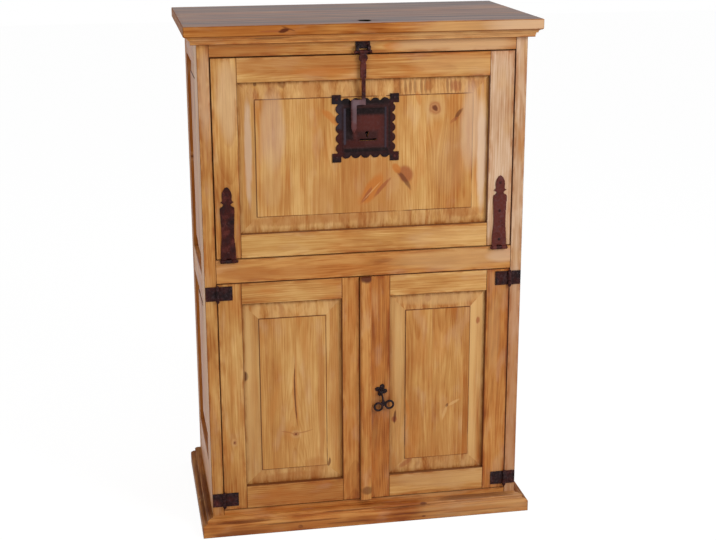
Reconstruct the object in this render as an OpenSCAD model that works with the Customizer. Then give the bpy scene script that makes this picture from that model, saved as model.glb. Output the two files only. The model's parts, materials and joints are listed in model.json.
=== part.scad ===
// Drop-front bar cabinet in waxed pine with forged iron fittings.
// The fall (upper front) swings forward and down on two strap hinges, the two lower doors swing
// sideways on butt hinges. X runs to the viewer's right, the front looks towards -Y, Z is up.
// The origin is on the floor, under the middle of the whole cabinet.

/* [Case] */
// Width of the case across its corner posts
case_w = 914; // [840:1:1000]
// Depth of the case from its face to its back
case_d = 511; // [460:1:560]
// Height of the bottom rail above the floor
base_h = 64; // [60:1:80]
// Height of the lower opening, which holds the two doors
door_open_h = 693; // [600:1:760]
// Height of the middle rail
mid_rail_h = 68; // [62:1:90]
// Height of the upper opening, which holds the fall
fall_open_h = 561; // [520:1:620]
// Height of the top rail, partly behind the cornice
top_rail_h = 57; // [54:1:80]
// Width of a corner post, seen from the front
post_w = 33; // [30:1:40]
// Depth of a front corner post, seen from the side
front_post_d = 105; // [95:1:120]
// Depth of a back corner post, seen from the side
back_post_d = 80; // [60:1:110]
// Thickness of the top and bottom rails of the face
rail_t = 28; // [24:1:36]
// Thickness of the middle rail, which also carries the deck
mid_rail_t = 45; // [42:1:60]
// Thickness of the rails in the sides
side_rail_t = 26; // [22:1:28]
// Height of the lowest rail in a side
side_bottom_h = 181; // [120:1:220]
// Height of the middle rail in a side
side_mid_h = 79; // [60:1:110]
// Height above the floor of the lower edge of that middle rail
side_mid_z = 676; // [600:1:740]
// Height of the top rail in a side
side_top_h = 96; // [80:1:130]

/* [Top, cornice and plinth] */
// Thickness of the top board
top_t = 28; // [22:1:36]
// Overhang of the top board at the front
top_front = 33; // [30:1:39]
// Overhang of the top board at each side
top_side = 35; // [33:1:60]
// Overhang of the top board at the back
top_back = 15; // [0:1:30]
// Height of the cornice moulding under the top board
cornice_h = 22; // [20:1:28]
// Projection of the cornice moulding
cornice_p = 31; // [27:1:32]
// Height of the plinth moulding where it meets the case
plinth_h = 50; // [46:1:58]
// Height of the plain face of the plinth
plinth_face_h = 29; // [24:1:38]
// Projection of the plinth at the front
plinth_front_p = 40; // [40:1:60]
// Projection of the plinth at the sides
plinth_side_p = 32; // [28:1:40]

/* [Fall and doors] */
// Gap around the fall
fall_gap = 2.5; // [1.5:0.1:3.5]
// Gap around the pair of doors
door_gap = 1.8; // [1.2:0.1:3]
// Gap between the doors
meet_gap = 1.5; // [1.4:0.1:3]
// Thickness of the fall
fall_t = 24; // [22:1:28]
// Width of the stiles of the fall
fall_stile_w = 69.5; // [60:0.5:85]
// Height of the rails of the fall
fall_rail_h = 68; // [58:1:80]
// Thickness of the doors
door_t = 22; // [21:1:26]
// Width of the outer stiles of the doors
door_stile_w = 67; // [60:1:75]
// Width of the left door's inner stile
meet_stile_w = 50; // [42:1:60]
// Height of the top rails of the doors
door_top_h = 62; // [55:1:75]
// Height of the bottom rails of the doors
door_bottom_h = 70; // [60:1:90]
// How far the meeting gap lies left of the middle
meet_offset = 18; // [16:1:22]
// Width of the astragal, the strip over the meeting gap
astragal_w = 32; // [26:1:38]
// Thickness of the astragal
astragal_t = 13; // [9:1:16]
// Width of the slope around a raised panel
bevel_w = 47; // [35:1:60]
// Depth of the field of a raised panel below the frame
field_in = 2.5; // [1.5:0.1:4]
// The same depth for the panels in the sides
side_field_in = 6; // [2:0.5:7]
// Depth of the groove that holds a panel
groove_d = 10; // [8:1:12]
// Width of that groove
groove_w = 6; // [5:0.5:7]
// Distance of that groove from the front of its frame
groove_in = 12; // [9:0.5:12]

/* [Inside] */
// Thickness of the shelves and the cabinet floor
shelf_t = 18; // [16:1:24]
// Height of the lower shelf above the floor
lower_shelf_z = 400; // [300:1:500]
// Height of the shelf behind the fall above the floor
bar_shelf_z = 1120; // [1080:1:1200]
// Depth of the shelf behind the fall
bar_shelf_d = 260; // [200:1:300]
// Side of the square cleats that carry shelves and deck
cleat = 20; // [16:1:24]
// Thickness of the back boards
back_t = 12; // [9:1:15]
// Number of back boards
back_count = 8; // [5:1:9]

/* [Ironwork] */
// Thickness of hinge leaves and plates
plate_t = 3; // [2:0.5:4]
// Radius of the hinge knuckles
knuckle_r = 5.5; // [5:0.1:6]
// Radius of the hinge pins
pin_r = 2.5; // [2:0.1:2.8]
// Radial clearance between a pin and its bore
pin_gap = 0.06; // [0.04:0.01:0.1]
// Clearance between iron that moves and the wood in front of which it lies
swing_gap = 0.4; // [0.3:0.1:0.6]
// Distance of the middle of a strap hinge inside the edge of the fall
strap_in = 33.5; // [26:0.5:46]
// Width of a strap hinge at its foot
strap_w = 43; // [36:1:48]
// Length of a strap hinge above its foot
strap_l = 205; // [170:1:260]
// Height of the butt hinge leaves
butt_h = 42; // [34:1:54]
// Reach of a butt hinge leaf from the pin on the post
butt_post_w = 34; // [28:1:34]
// Reach of a butt hinge leaf from the pin on the door
butt_door_w = 42; // [32:1:50]
// Distance of the butt hinge pins inside the edge of the opening
butt_in = 2; // [1:0.5:6]
// Height of the lower butt hinges above the edge of the door
butt_low = 12; // [8:1:60]
// Distance of the upper butt hinges below the edge of the door
butt_high = 6; // [5:1:60]
// Width of the lock plate without its corner tabs
lock_w = 168; // [150:1:180]
// Height of the middle of the lock plate above the foot of the fall
lock_z = 354; // [320:1:380]
// Number of scallops along each edge of the lock plate
scallops = 5; // [3:1:7]
// Distance of the middle of the hasp left of the middle
hasp_off = 8; // [0:1:12]
// Radius of the arc of a fall stay, measured from the hinge pin
stay_r = 180; // [160:1:200]
// Distance of the fall stays inside the corner posts
stay_in = 32; // [28:1:40]
// Width of the iron bar of a stay
stay_w = 12; // [10:1:14]
// Thickness of that bar
stay_t = 5; // [4:1:6]
// Height of the pull's rosette above the floor
pull_z = 408; // [300:1:600]
// Distance of the pull from the middle
pull_x = 44; // [40:1:56]

/* [Hidden] */
$fn = 48;

// Fits: fit is the play between wood and wood or wood and iron, ease the chamfer on board edges
fit = 0.2;
ease = 1.2;
tenon_l = 14;
tenon_t = 12;
tenon_in = 8;
groove_end = 1;
head_r = 4.2;
head_h = 2;
shank_r = 1.5;
shank_l = 14;
dome_r = head_r * head_r / (2 * head_h) + head_h / 2;

// Heights and places that follow from the driving sizes; y = 0 is the face of the case
half_w = case_w / 2;
open_x = half_w - post_w;
door_z0 = base_h;
door_z1 = door_z0 + door_open_h;
fall_z0 = door_z1 + mid_rail_h;
fall_z1 = fall_z0 + fall_open_h;
case_h = fall_z1 + top_rail_h;
face_y = -(case_d + top_back - plinth_front_p) / 2;
back_y = case_d - back_t;
back_rabbet = 8;
side_mid_top = side_mid_z + side_mid_h;
side_top_z = case_h - side_top_h;

// Fall: hinge pin in front of the face and just under the upper edge of the middle rail
fall_w = 2 * (open_x - fall_gap);
fall_h = fall_open_h - 2 * fall_gap;
fall_foot = fall_z0 + fall_gap;
fall_pin_y = -knuckle_r - swing_gap;
fall_pin_drop = 3;
fall_pin_z = fall_z0 - fall_pin_drop;
deck_t = fall_t - fall_pin_y - fall_pin_drop;
deck_y = fall_t + fall_gap;
strap_x = fall_w / 2 - strap_in;
strap_leaf_w = strap_w - 4;
fall_leaf_t = 2;
fall_leaf_d = 20;

// Doors: pins stand in front of the face, inside the edge of the opening
butt_x = open_x - butt_in;
butt_y = -knuckle_r - swing_gap;
door_top = door_z1 - door_gap;
door_foot = door_z0 + door_gap;
door_h = door_top - door_foot;
left_edge = -meet_offset - meet_gap;
left_door_w = open_x - door_gap + left_edge;
right_door_w = open_x - door_gap + meet_offset;
right_meet_w = meet_offset + meet_stile_w - left_edge;
butt_bottoms = [door_foot + butt_low, door_top - butt_high - butt_h];

lock_mid = fall_foot + lock_z;
lock_tab = 26;
tab_out = 10;
lock_frame = 128;
lock_frame_w = 10;
lock_back = groove_in + groove_w;
lock_case_size = [96, 22, 116];
keyhole_z = lock_mid - 14;
keyhole_r = 5;
keyhole_l = 12;
keyhole_x = 4;
lock_slot = [48, 5];
lock_slot_at = [7, keyhole_z - 18.5];
hasp_z = fall_z1 + 5.5;
hasp_y = -9;
hasp_pin_r = 3;
hasp_eye_w = 23;
ear_w = 9;
ear_front = -15.5;
ear_low = 4.5;
ear_h = 22;
bracket_h = 21;
bracket_up = 8;
slot_play = 0.35;
stay_guide_y = deck_y + 8;
guide_t = 3;
stay_foot_t = 3;
stay_x = open_x - stay_in;
stay_bar_l = 80;
stay_foot_l = 60;
stay_foot_w = 19;
guide_w = 12;
guide_h = 32;
guide_d = 24;
pull_pin_z = pull_z - 4;
pull_pin_y = -9;
catch_size = [40, 20, 15];
catch_x = [-75, 50];

module placed() translate([0, face_y, 0]) children();
module both_sides() { children(); mirror([1, 0, 0]) children(); }

// Boards and frames, with their front at y = 0 and their lower left corner at the origin

function eased_rect(w, h, e) =
    [[e, 0], [w - e, 0], [w, e], [w, h - e], [w - e, h], [e, h], [0, h - e], [0, e]];
function arc(cx, cy, r, a0, a1, n = 8) =
    [for (i = [0:n]) [cx + r * cos(a0 + (a1 - a0) * i / n), cy + r * sin(a0 + (a1 - a0) * i / n)]];

module along_x(l) rotate([90, 0, 90]) linear_extrude(l) children();
module along_y(l) translate([0, l, 0]) rotate([90, 0, 0]) linear_extrude(l) children();

module board(s, e = ease) {
    intersection() {
        linear_extrude(s[2]) polygon(eased_rect(s[0], s[1], e));
        along_x(s[0]) polygon(eased_rect(s[1], s[2], e));
        along_y(s[1]) polygon(eased_rect(s[0], s[2], e));
    }
}

// Upright of a frame with its panel groove on the right edge
module stile(w, h, t) {
    difference() {
        board([w, t, h]);
        translate([w - groove_d, groove_in, -1]) cube([groove_d + 1, groove_w, h + 2]);
    }
}

// Cross piece of a frame, l long between the stiles, with stub tenons in their grooves
module rail(l, h, t, groove_low, groove_high) {
    low = groove_low ? groove_d + fit : ease;
    high = groove_high ? groove_d + fit : ease;
    tongue = groove_d - groove_end;
    difference() {
        union() {
            board([l, t, h]);
            translate([-tongue, groove_in + fit / 2, low])
                cube([l + 2 * tongue, groove_w - fit, h - low - high]);
        }
        if (groove_low) translate([-1, groove_in, -1]) cube([l + 2, groove_w, groove_d + 1]);
        if (groove_high) translate([-1, groove_in, h - groove_d]) cube([l + 2, groove_w, groove_d + 1]);
    }
}

// Section through a raised panel that fills an opening w wide; the first value runs across it
field_step = 2;
function panel_section(w, field) =
    let (tongue = groove_d - groove_end, front = groove_in + fit, back = groove_in + groove_w - fit)
    [[-tongue, back], [-tongue, front], [1, front],
     [bevel_w, field + field_step], [bevel_w, field],
     [w - bevel_w, field], [w - bevel_w, field + field_step], [w - 1, front],
     [w + tongue, front], [w + tongue, back]];

// Raised panel for an opening w by h; both sections cross, so the slopes meet in true mitres
module raised_panel(w, h, field = field_in) {
    tongue = groove_d - groove_end;
    intersection() {
        translate([0, 0, -tongue]) linear_extrude(h + 2 * tongue) polygon(panel_section(w, field));
        translate([-tongue, 0, 0]) along_x(w + 2 * tongue)
            polygon([for (p = panel_section(h, field)) [p[1], p[0]]]);
    }
}

// Nails: a low dome on the iron and a shank in the wood behind it, both along y
module nail(x, front, z) {
    translate([x, front, z]) rotate([-90, 0, 0]) {
        intersection() {
            translate([0, 0, dome_r - head_h]) sphere(dome_r);
            translate([0, 0, -head_h]) cylinder(r = head_r, h = head_h);
        }
        cylinder(r = shank_r, h = shank_l);
    }
}
module nail_holes(spots) {
    for (p = spots) translate([p[0], -20, p[1]]) rotate([-90, 0, 0])
        cylinder(r = shank_r + fit / 2, h = 20 + shank_l + 1);
}

// Where the nails go, as [x, z] on the face
function butt_nail_rows() = [butt_h * 0.22, butt_h * 0.78];
post_nails = [for (b = butt_bottoms, r = butt_nail_rows()) [open_x + post_w / 2 + 4, b + r]];
door_nails = [for (b = butt_bottoms, r = butt_nail_rows()) [butt_x - butt_door_w + 8, b + r]];
strap_nails = [for (z = [18, strap_l * 0.5, strap_l - 21]) [strap_x, fall_foot + z]];
tab_at = lock_w / 2 + tab_out - lock_tab / 2;
lock_nails = [for (sx = [-1, 1], sz = [-1, 1]) [sx * tab_at, lock_mid + sz * tab_at]];
bracket_z = hasp_z + bracket_up + 14;
bracket_nails = [for (dx = [-12, 12]) [dx - hasp_off, bracket_z]];
function mirrored(spots) = [for (p = spots) [-p[0], p[1]]];

// Knuckles along x or z around a pin, n in all, those with the given parity are kept
module knuckles(l, n, parity) {
    step = l / n;
    for (i = [0:n - 1]) if (i % 2 == parity)
        translate([0, 0, i * step + fit]) cylinder(r = knuckle_r, h = step - 2 * fit);
}
module pin_bore(l) translate([0, 0, -1]) cylinder(r = pin_r + pin_gap, h = l + 2);

// Corner posts: panel groove on the inner edge, mortises for the rails of the face

module front_post() {
    difference() {
        translate([-half_w, 0, 0]) board([post_w, front_post_d, case_h]);
        translate([-half_w + groove_in, front_post_d - groove_d, -1])
            cube([groove_w, groove_d + 1, case_h + 2]);
        face_mortise(door_z0 - base_h, base_h);
        face_mortise(door_z1, mid_rail_h);
        face_mortise(fall_z1, top_rail_h);
        nail_holes(mirrored(post_nails));
    }
}
module face_mortise(z, h) translate([-open_x - tenon_l - fit, tenon_in - fit / 2, z + tenon_in - fit / 2])
    cube([tenon_l + fit + 1, tenon_t + fit, h - 2 * tenon_in + fit]);

module back_post() {
    difference() {
        translate([-half_w, case_d - back_post_d, 0]) board([post_w, back_post_d, case_h]);
        translate([-half_w + groove_in, case_d - back_post_d - 1, -1])
            cube([groove_w, groove_d + 1, case_h + 2]);
        translate([-open_x - back_rabbet, back_y, -1]) cube([back_rabbet + 1, back_t + 1, case_h + 2]);
    }
}

// Sides: rails and raised panels between the posts, turned to look left
side_l = case_d - front_post_d - back_post_d;
module side_turned() translate([-half_w, case_d - back_post_d, 0]) rotate([0, 0, -90]) children();
module side_rails() {
    side_turned() {
        rail(side_l, side_bottom_h, side_rail_t, false, true);
        translate([0, 0, side_mid_z]) rail(side_l, side_mid_h, side_rail_t, true, true);
        translate([0, 0, side_top_z]) rail(side_l, side_top_h, side_rail_t, true, false);
    }
}
module side_panel(z0, z1) side_turned() translate([0, 0, z0])
    raised_panel(side_l, z1 - z0, side_field_in);
module lower_side_panel() side_panel(side_bottom_h, side_mid_z);
module upper_side_panel() side_panel(side_mid_top, side_top_z);

module left_front_post() color("peru") placed() front_post();
module right_front_post() color("peru") placed() mirror([1, 0, 0]) front_post();
module left_back_post() color("peru") placed() back_post();
module right_back_post() color("peru") placed() mirror([1, 0, 0]) back_post();
module left_side_rails() color("burlywood") placed() side_rails();
module right_side_rails() color("burlywood") placed() mirror([1, 0, 0]) side_rails();
module left_upper_panel() color("sandybrown") placed() upper_side_panel();
module left_lower_panel() color("sandybrown") placed() lower_side_panel();
module right_upper_panel() color("sandybrown") placed() mirror([1, 0, 0]) upper_side_panel();
module right_lower_panel() color("sandybrown") placed() mirror([1, 0, 0]) lower_side_panel();

// Rails of the face, tenoned into the posts
module face_rail(z, h, t) {
    translate([-open_x, 0, z]) board([2 * open_x, t, h]);
    translate([-open_x - tenon_l, tenon_in, z + tenon_in])
        cube([2 * (open_x + tenon_l), tenon_t, h - 2 * tenon_in]);
}
module top_rail() color("burlywood") placed() difference() {
    face_rail(fall_z1, top_rail_h, rail_t);
    nail_holes(bracket_nails);
}
// The fixed leaves of the fall's hinges are let into the top of the middle rail
module middle_rail() color("burlywood") placed() difference() {
    face_rail(door_z1, mid_rail_h, mid_rail_t);
    both_sides() translate([strap_x - strap_leaf_w / 2 - fit, -1, fall_z0 - fall_leaf_t - fit])
        cube([strap_leaf_w + 2 * fit, fall_leaf_d + fit + 1, fall_leaf_t + fit + 1]);
}
module bottom_rail() color("burlywood") placed() face_rail(0, base_h, rail_t);

// Plinth: plain face, then a round nose, a flat, a bead and a last flat up to the case
function plinth_profile(p) =
    let (face = plinth_face_h, rise = plinth_h - face, nose = rise * 0.28, bead = rise * 0.24,
         ledge = face + rise * 0.42)
    concat([[0, 0], [p, 0], [p, face]],
           arc(p - nose, face + 1, nose, 10, 80, 5),
           [[p - nose - 2, ledge], [p - nose - 7.5, ledge]],
           arc(p - nose - 8 - bead, plinth_h - bead - 1, bead, -40, 90, 6),
           [[p - nose - 10 - bead, plinth_h], [0, plinth_h]]);

// A moulding run along the front, w wide over the case, mitred at 45 degrees
module front_run(profile_points, p, q) {
    start = q - p;
    intersection() {
        translate([-half_w - q, 0, 0]) mirror([0, 1, 0]) along_x(case_w + 2 * q) polygon(profile_points);
        translate([0, 0, -1]) linear_extrude(case_h)
            polygon([[-half_w, 0], [-half_w, start], [-half_w - q, -p],
                     [half_w + q, -p], [half_w, start], [half_w, 0]]);
    }
}
// A moulding run along the left side, mitred at the front and square at the back
module side_run(profile_points, p, q) {
    intersection() {
        translate([-half_w, 0, 0]) translate([0, -p, 0]) mirror([1, 0, 0]) along_y(case_d + p)
            polygon(profile_points);
        translate([0, 0, -1]) linear_extrude(case_h)
            polygon([[-half_w, q - p], [-half_w, case_d], [-half_w - q, case_d], [-half_w - q, -p]]);
    }
}
module plinth_side() side_run(plinth_profile(plinth_side_p), plinth_front_p, plinth_side_p);
module plinth_front() color("chocolate") placed()
    front_run(plinth_profile(plinth_front_p), plinth_front_p, plinth_side_p);
module plinth_left() color("chocolate") placed() plinth_side();
module plinth_right() color("chocolate") placed() mirror([1, 0, 0]) plinth_side();

// Cornice: two narrow bands and a cove that spreads out under the top board
band_p = cornice_p - 15;
cove_r = cornice_h * 0.41;
cornice_profile = concat(
    [[0, 0], [band_p, 0], [band_p, cornice_h * 0.27], [band_p + 1.5, cornice_h * 0.3]],
    [[band_p + 1.5, cornice_h * 0.54]],
    arc(cornice_p, cornice_h - 1 - cove_r, cove_r, 180, 90, 6),
    [[cornice_p, cornice_h], [0, cornice_h]]);
module cornice_side() translate([0, 0, case_h - cornice_h])
    side_run(cornice_profile, cornice_p, cornice_p);
module cornice_front() color("chocolate") placed() translate([0, 0, case_h - cornice_h])
    front_run(cornice_profile, cornice_p, cornice_p);
module cornice_left() color("chocolate") placed() cornice_side();
module cornice_right() color("chocolate") placed() mirror([1, 0, 0]) cornice_side();

module top_board() color("rosybrown") placed()
    translate([-half_w - top_side, -top_front, case_h])
        board([case_w + 2 * top_side, case_d + top_front + top_back, top_t], 2);

// Inside: deck level with the open fall, shelves and floor on cleats, vertical back boards
inner_w = 2 * (open_x - fit);
shelf_back = back_y - fit;
// The arcs of the stays dip through these slots as the fall closes
module stay_slots() {
    slot_w = stay_t + 8;
    near = sqrt(pow(stay_r - stay_w, 2) - pow(deck_t + fall_pin_drop, 2)) + fall_pin_y - 4;
    far = stay_r + stay_w + fall_pin_y + 4;
    both_sides() translate([stay_x + stay_t / 2 - slot_w / 2, near, fall_z0 - 1])
        cube([slot_w, far - near, deck_t + 2]);
}
module bar_deck() color("wheat") placed() difference() {
    translate([-inner_w / 2, deck_y, fall_z0]) board([inner_w, shelf_back - deck_y, deck_t]);
    stay_slots();
}
module shelf(z, y0) translate([-inner_w / 2, y0, z]) board([inner_w, shelf_back - y0, shelf_t]);
module cabinet_floor() color("wheat") placed() shelf(base_h - shelf_t, rail_t);
module lower_shelf() color("wheat") placed() shelf(lower_shelf_z, 60);
module bar_shelf() color("wheat") placed() shelf(bar_shelf_z, shelf_back - bar_shelf_d);
module cleats() color("wheat") placed() both_sides() {
    for (top = [base_h - shelf_t, lower_shelf_z, bar_shelf_z, case_h])
        cleat_at(top, rail_t + 2);
    cleat_at(fall_z0, mid_rail_t);
}
module cleat_at(top, y0) translate([open_x - cleat, y0, top - cleat])
    board([cleat, shelf_back - y0, cleat]);
module back_boards() color("tan") placed() {
    seam = 0.6;
    foot = 24;
    span = 2 * (open_x + back_rabbet - fit);
    step = span / back_count;
    for (i = [0:back_count - 1])
        translate([-span / 2 + i * step + seam / 2, back_y, foot])
            board([step - seam, back_t, case_h - foot], 1);
}

// Magnetic catches under the middle rail, just behind the doors
module door_catches() color("dimgray") placed()
    for (x = catch_x) translate([x, door_t + 0.4, door_z1 - catch_size[2]]) cube(catch_size);

// Butt hinges: the post's leaf holds the outer knuckles, the door's leaf the middle one
module butt_at(b) translate([butt_x, butt_y, b]) children();
module butt_bore(b) butt_at(b) pin_bore(butt_h);
module post_leaf() {
    for (b = butt_bottoms) difference() {
        union() {
            translate([butt_x, -plate_t, b]) cube([butt_in + 1, plate_t - swing_gap, butt_h]);
            translate([open_x, -plate_t, b]) cube([butt_post_w - butt_in, plate_t, butt_h]);
            butt_at(b) knuckles(butt_h, 3, 0);
        }
        butt_at(b + butt_h / 3 - fit) cylinder(r = knuckle_r + swing_gap, h = butt_h / 3 + 2 * fit);
        butt_bore(b);
        nail_holes(post_nails);
    }
}
module door_leaf() {
    for (b = butt_bottoms) difference() {
        union() {
            translate([butt_x - butt_door_w, -plate_t, b])
                cube([butt_door_w, plate_t - swing_gap, butt_h]);
            translate([butt_x - butt_door_w, -plate_t, b])
                cube([butt_door_w - knuckle_r - 2, plate_t, butt_h]);
            butt_at(b) knuckles(butt_h, 3, 1);
        }
        for (i = [0, 2]) butt_at(b + i * butt_h / 3 - fit)
            cylinder(r = knuckle_r + swing_gap, h = butt_h / 3 + 2 * fit);
        butt_bore(b);
        nail_holes(door_nails);
    }
}
module case_hinge_leaves() color("dimgray") placed() both_sides() post_leaf();
module left_door_leaves() color("dimgray") placed() mirror([1, 0, 0]) door_leaf();
module right_door_leaves() color("dimgray") placed() door_leaf();

// Pins with round ends below and above the knuckles
module pin(l) {
    cylinder(r = pin_r, h = l);
    translate([0, 0, -5]) cylinder(r1 = 3, r2 = knuckle_r, h = 5 - fit);
    translate([0, 0, l + fit]) cylinder(r1 = knuckle_r, r2 = 3.5, h = 2.5);
    translate([0, 0, -1]) cylinder(r = pin_r, h = l + 2);
}
module fall_pin_place() translate([strap_x - strap_w / 2, fall_pin_y, fall_pin_z])
    rotate([0, 90, 0]) children();
module hinge_pins() color("dimgray") placed() both_sides() {
    for (b = butt_bottoms) butt_at(b) pin(butt_h);
    fall_pin_place() pin(strap_w);
}

// Fixed leaf of a strap hinge: middle knuckle and a plate let into the middle rail
module fall_leaf() {
    difference() {
        union() {
            fall_pin_place() knuckles(strap_w, 3, 1);
            translate([strap_x - strap_w / 6 + fit, fall_pin_y, fall_z0 - fall_leaf_t])
                cube([strap_w / 3 - 2 * fit, -fall_pin_y + 1, fall_leaf_t]);
            translate([strap_x - strap_leaf_w / 2, 0, fall_z0 - fall_leaf_t])
                cube([strap_leaf_w, fall_leaf_d, fall_leaf_t]);
        }
        fall_pin_place() pin_bore(strap_w);
    }
}
module fall_hinge_leaves() color("dimgray") placed() both_sides() fall_leaf();

// Strap hinge on the fall: a long plate that ends in a spear head
neck = strap_l - 48;
head_w = strap_w / 3;
strap_half = concat(
    [[strap_w / 2, 0], [strap_w / 2 - 0.5, neck * 0.2], [strap_w * 0.415, neck * 0.4]],
    [[strap_w * 0.43, neck * 0.62], [strap_w * 0.475, neck * 0.87]],
    arc(strap_w * 0.475 - 7, neck - 14, 7, 0, 75, 5),
    [[strap_w / 4, neck - 4], [strap_w / 4, neck], [strap_w * 0.45, neck + 5.5]],
    [[head_w + 0.5, neck + 8], [head_w - 1.3, neck + 12], [head_w, neck + 23]],
    [[head_w - 1.5, neck + 32], [head_w - 5, neck + 40], [head_w / 3, neck + 46], [0, strap_l]]);
strap_last = len(strap_half) - 2;
strap_outline = concat(strap_half, [for (i = [strap_last:-1:0]) [-strap_half[i][0], strap_half[i][1]]]);
module strap_hinge() {
    difference() {
        union() {
            translate([strap_x, -plate_t, fall_foot]) along_y(plate_t) polygon(strap_outline);
            translate([strap_x - strap_w / 2, -plate_t, fall_pin_z])
                cube([strap_w, plate_t - swing_gap, fall_foot - fall_pin_z + 1]);
            fall_pin_place() knuckles(strap_w, 3, 0);
        }
        translate([strap_x - strap_w / 6 - fit, fall_pin_y, fall_pin_z]) rotate([0, 90, 0])
            cylinder(r = norm([fall_pin_y, fall_pin_drop]) + swing_gap, h = strap_w / 3 + 2 * fit);
        fall_pin_place() pin_bore(strap_w);
        nail_holes(strap_nails);
    }
}
module left_strap_hinge() color("saddlebrown") placed() mirror([1, 0, 0]) strap_hinge();
module right_strap_hinge() color("saddlebrown") placed() strap_hinge();

// The fall: stiles, rails and a raised panel
fall_rail_l = fall_w - 2 * fall_stile_w;
fall_panel_h = fall_h - 2 * fall_rail_h;
module fall_stile() difference() {
    translate([-fall_w / 2, 0, fall_foot]) stile(fall_stile_w, fall_h, fall_t);
    nail_holes(mirrored(strap_nails));
}
module fall_left_stile() color("burlywood") placed() fall_stile();
module fall_right_stile() color("burlywood") placed() mirror([1, 0, 0]) fall_stile();
module fall_top_rail() color("tan") placed()
    translate([-fall_rail_l / 2, 0, fall_foot + fall_h - fall_rail_h])
        rail(fall_rail_l, fall_rail_h, fall_t, true, false);
module fall_bottom_rail() color("tan") placed()
    translate([-fall_rail_l / 2, 0, fall_foot]) rail(fall_rail_l, fall_rail_h, fall_t, false, true);
module fall_panel() color("sandybrown") placed() difference() {
    translate([-fall_rail_l / 2, 0, fall_foot + fall_rail_h]) raised_panel(fall_rail_l, fall_panel_h);
    lock_openings(2);
    nail_holes(lock_nails);
}

// Lock plate: scalloped sheet with corner tabs, a raised frame, keyhole and hasp slot
module lock_openings(extra) {
    reach = 2 * fall_t;
    translate([keyhole_x, -fall_t, keyhole_z]) along_y(reach) {
        circle(keyhole_r + extra);
        translate([-keyhole_r / 2 - extra, -keyhole_l - extra])
            square([keyhole_r + 2 * extra, keyhole_l]);
    }
    translate([lock_slot_at[0], -fall_t, lock_slot_at[1]]) along_y(reach)
        square([lock_slot[0] + 2 * extra, lock_slot[1] + 2 * extra], center = true);
}
module lock_outline() {
    r = (lock_w + 2 * tab_out - 2 * lock_tab) / scallops / 2;
    square(lock_w - 2 * r, center = true);
    for (a = [0:90:270]) rotate(a) {
        for (i = [0:scallops - 1])
            translate([(i - (scallops - 1) / 2) * 2 * r, lock_w / 2 - r]) circle(r);
        translate([lock_w / 2 + tab_out - lock_tab, lock_w / 2 + tab_out - lock_tab]) square(lock_tab);
    }
}
module lock_plate() color("saddlebrown") placed() difference() {
    union() {
        translate([0, field_in - plate_t, lock_mid]) along_y(plate_t) lock_outline();
        translate([0, field_in - 2 * plate_t, lock_mid]) along_y(plate_t) difference() {
            square(lock_frame, center = true);
            square(lock_frame - 2 * lock_frame_w, center = true);
        }
    }
    lock_openings(0);
    nail_holes(lock_nails);
}
// Rim lock on the inside of the panel, behind the plate
module lock_case() color("dimgray") placed() difference() {
    translate([-lock_case_size[0] / 2, lock_back, lock_mid - lock_case_size[2] / 2])
        board(lock_case_size, 1.5);
    translate([keyhole_x, -fall_t, keyhole_z]) along_y(3 * fall_t) circle(keyhole_r - 1);
}

// Stays: quadrant bars around the hinge pin, which slide through guides on the posts and stop there
guide_mid = stay_guide_y + guide_t / 2 - fall_pin_y;
guide_a = asin(guide_mid / stay_r);
tail_a = guide_a + 5;
stay_leg = 8;
module sector(r0, r1, a0, a1) polygon(concat(arc(0, 0, r1, a0, a1, 40), arc(0, 0, r0, a1, a0, 40)));
// In the hinge's own plane: the first value runs back from the pin, the second up from it
module stay_shape() {
    inner = fall_t - fall_pin_y;
    start_a = 90 - asin((inner + stay_foot_t) / stay_r);
    stop_l = 3;
    sector(stay_r - stay_w / 2, stay_r + stay_w / 2, -tail_a, start_a);
    sector(stay_r - stay_w / 2 - 4, stay_r + stay_w / 2 + 4, -tail_a, -tail_a + stop_l);
    translate([inner, stay_r - stay_bar_l]) square([stay_leg, stay_bar_l + stay_w / 2 - 5]);
}
module fall_stay() translate([stay_x, fall_pin_y, fall_pin_z]) {
    along_x(stay_t) stay_shape();
    translate([stay_t - stay_foot_w, fall_t - fall_pin_y, stay_r - stay_bar_l])
        cube([stay_foot_w, stay_foot_t, stay_foot_l]);
}
module fall_stays() color("dimgray") placed() both_sides() fall_stay();
module stay_guides() color("dimgray") placed() both_sides() {
    mid_z = fall_pin_z + sqrt(stay_r * stay_r - guide_mid * guide_mid);
    play = 1.2;
    difference() {
        union() {
            translate([stay_x + stay_t - guide_w, stay_guide_y, mid_z - guide_h / 2])
                cube([open_x - stay_x - stay_t + guide_w, guide_t, guide_h]);
            translate([open_x - plate_t, stay_guide_y, mid_z - guide_h / 2])
                cube([plate_t, guide_d, guide_h]);
        }
        translate([stay_x - play / 2, stay_guide_y - 5, mid_z - stay_w / 2 - play])
            cube([stay_t + play, guide_t + 10, stay_w + 2 * play]);
    }
}

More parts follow.
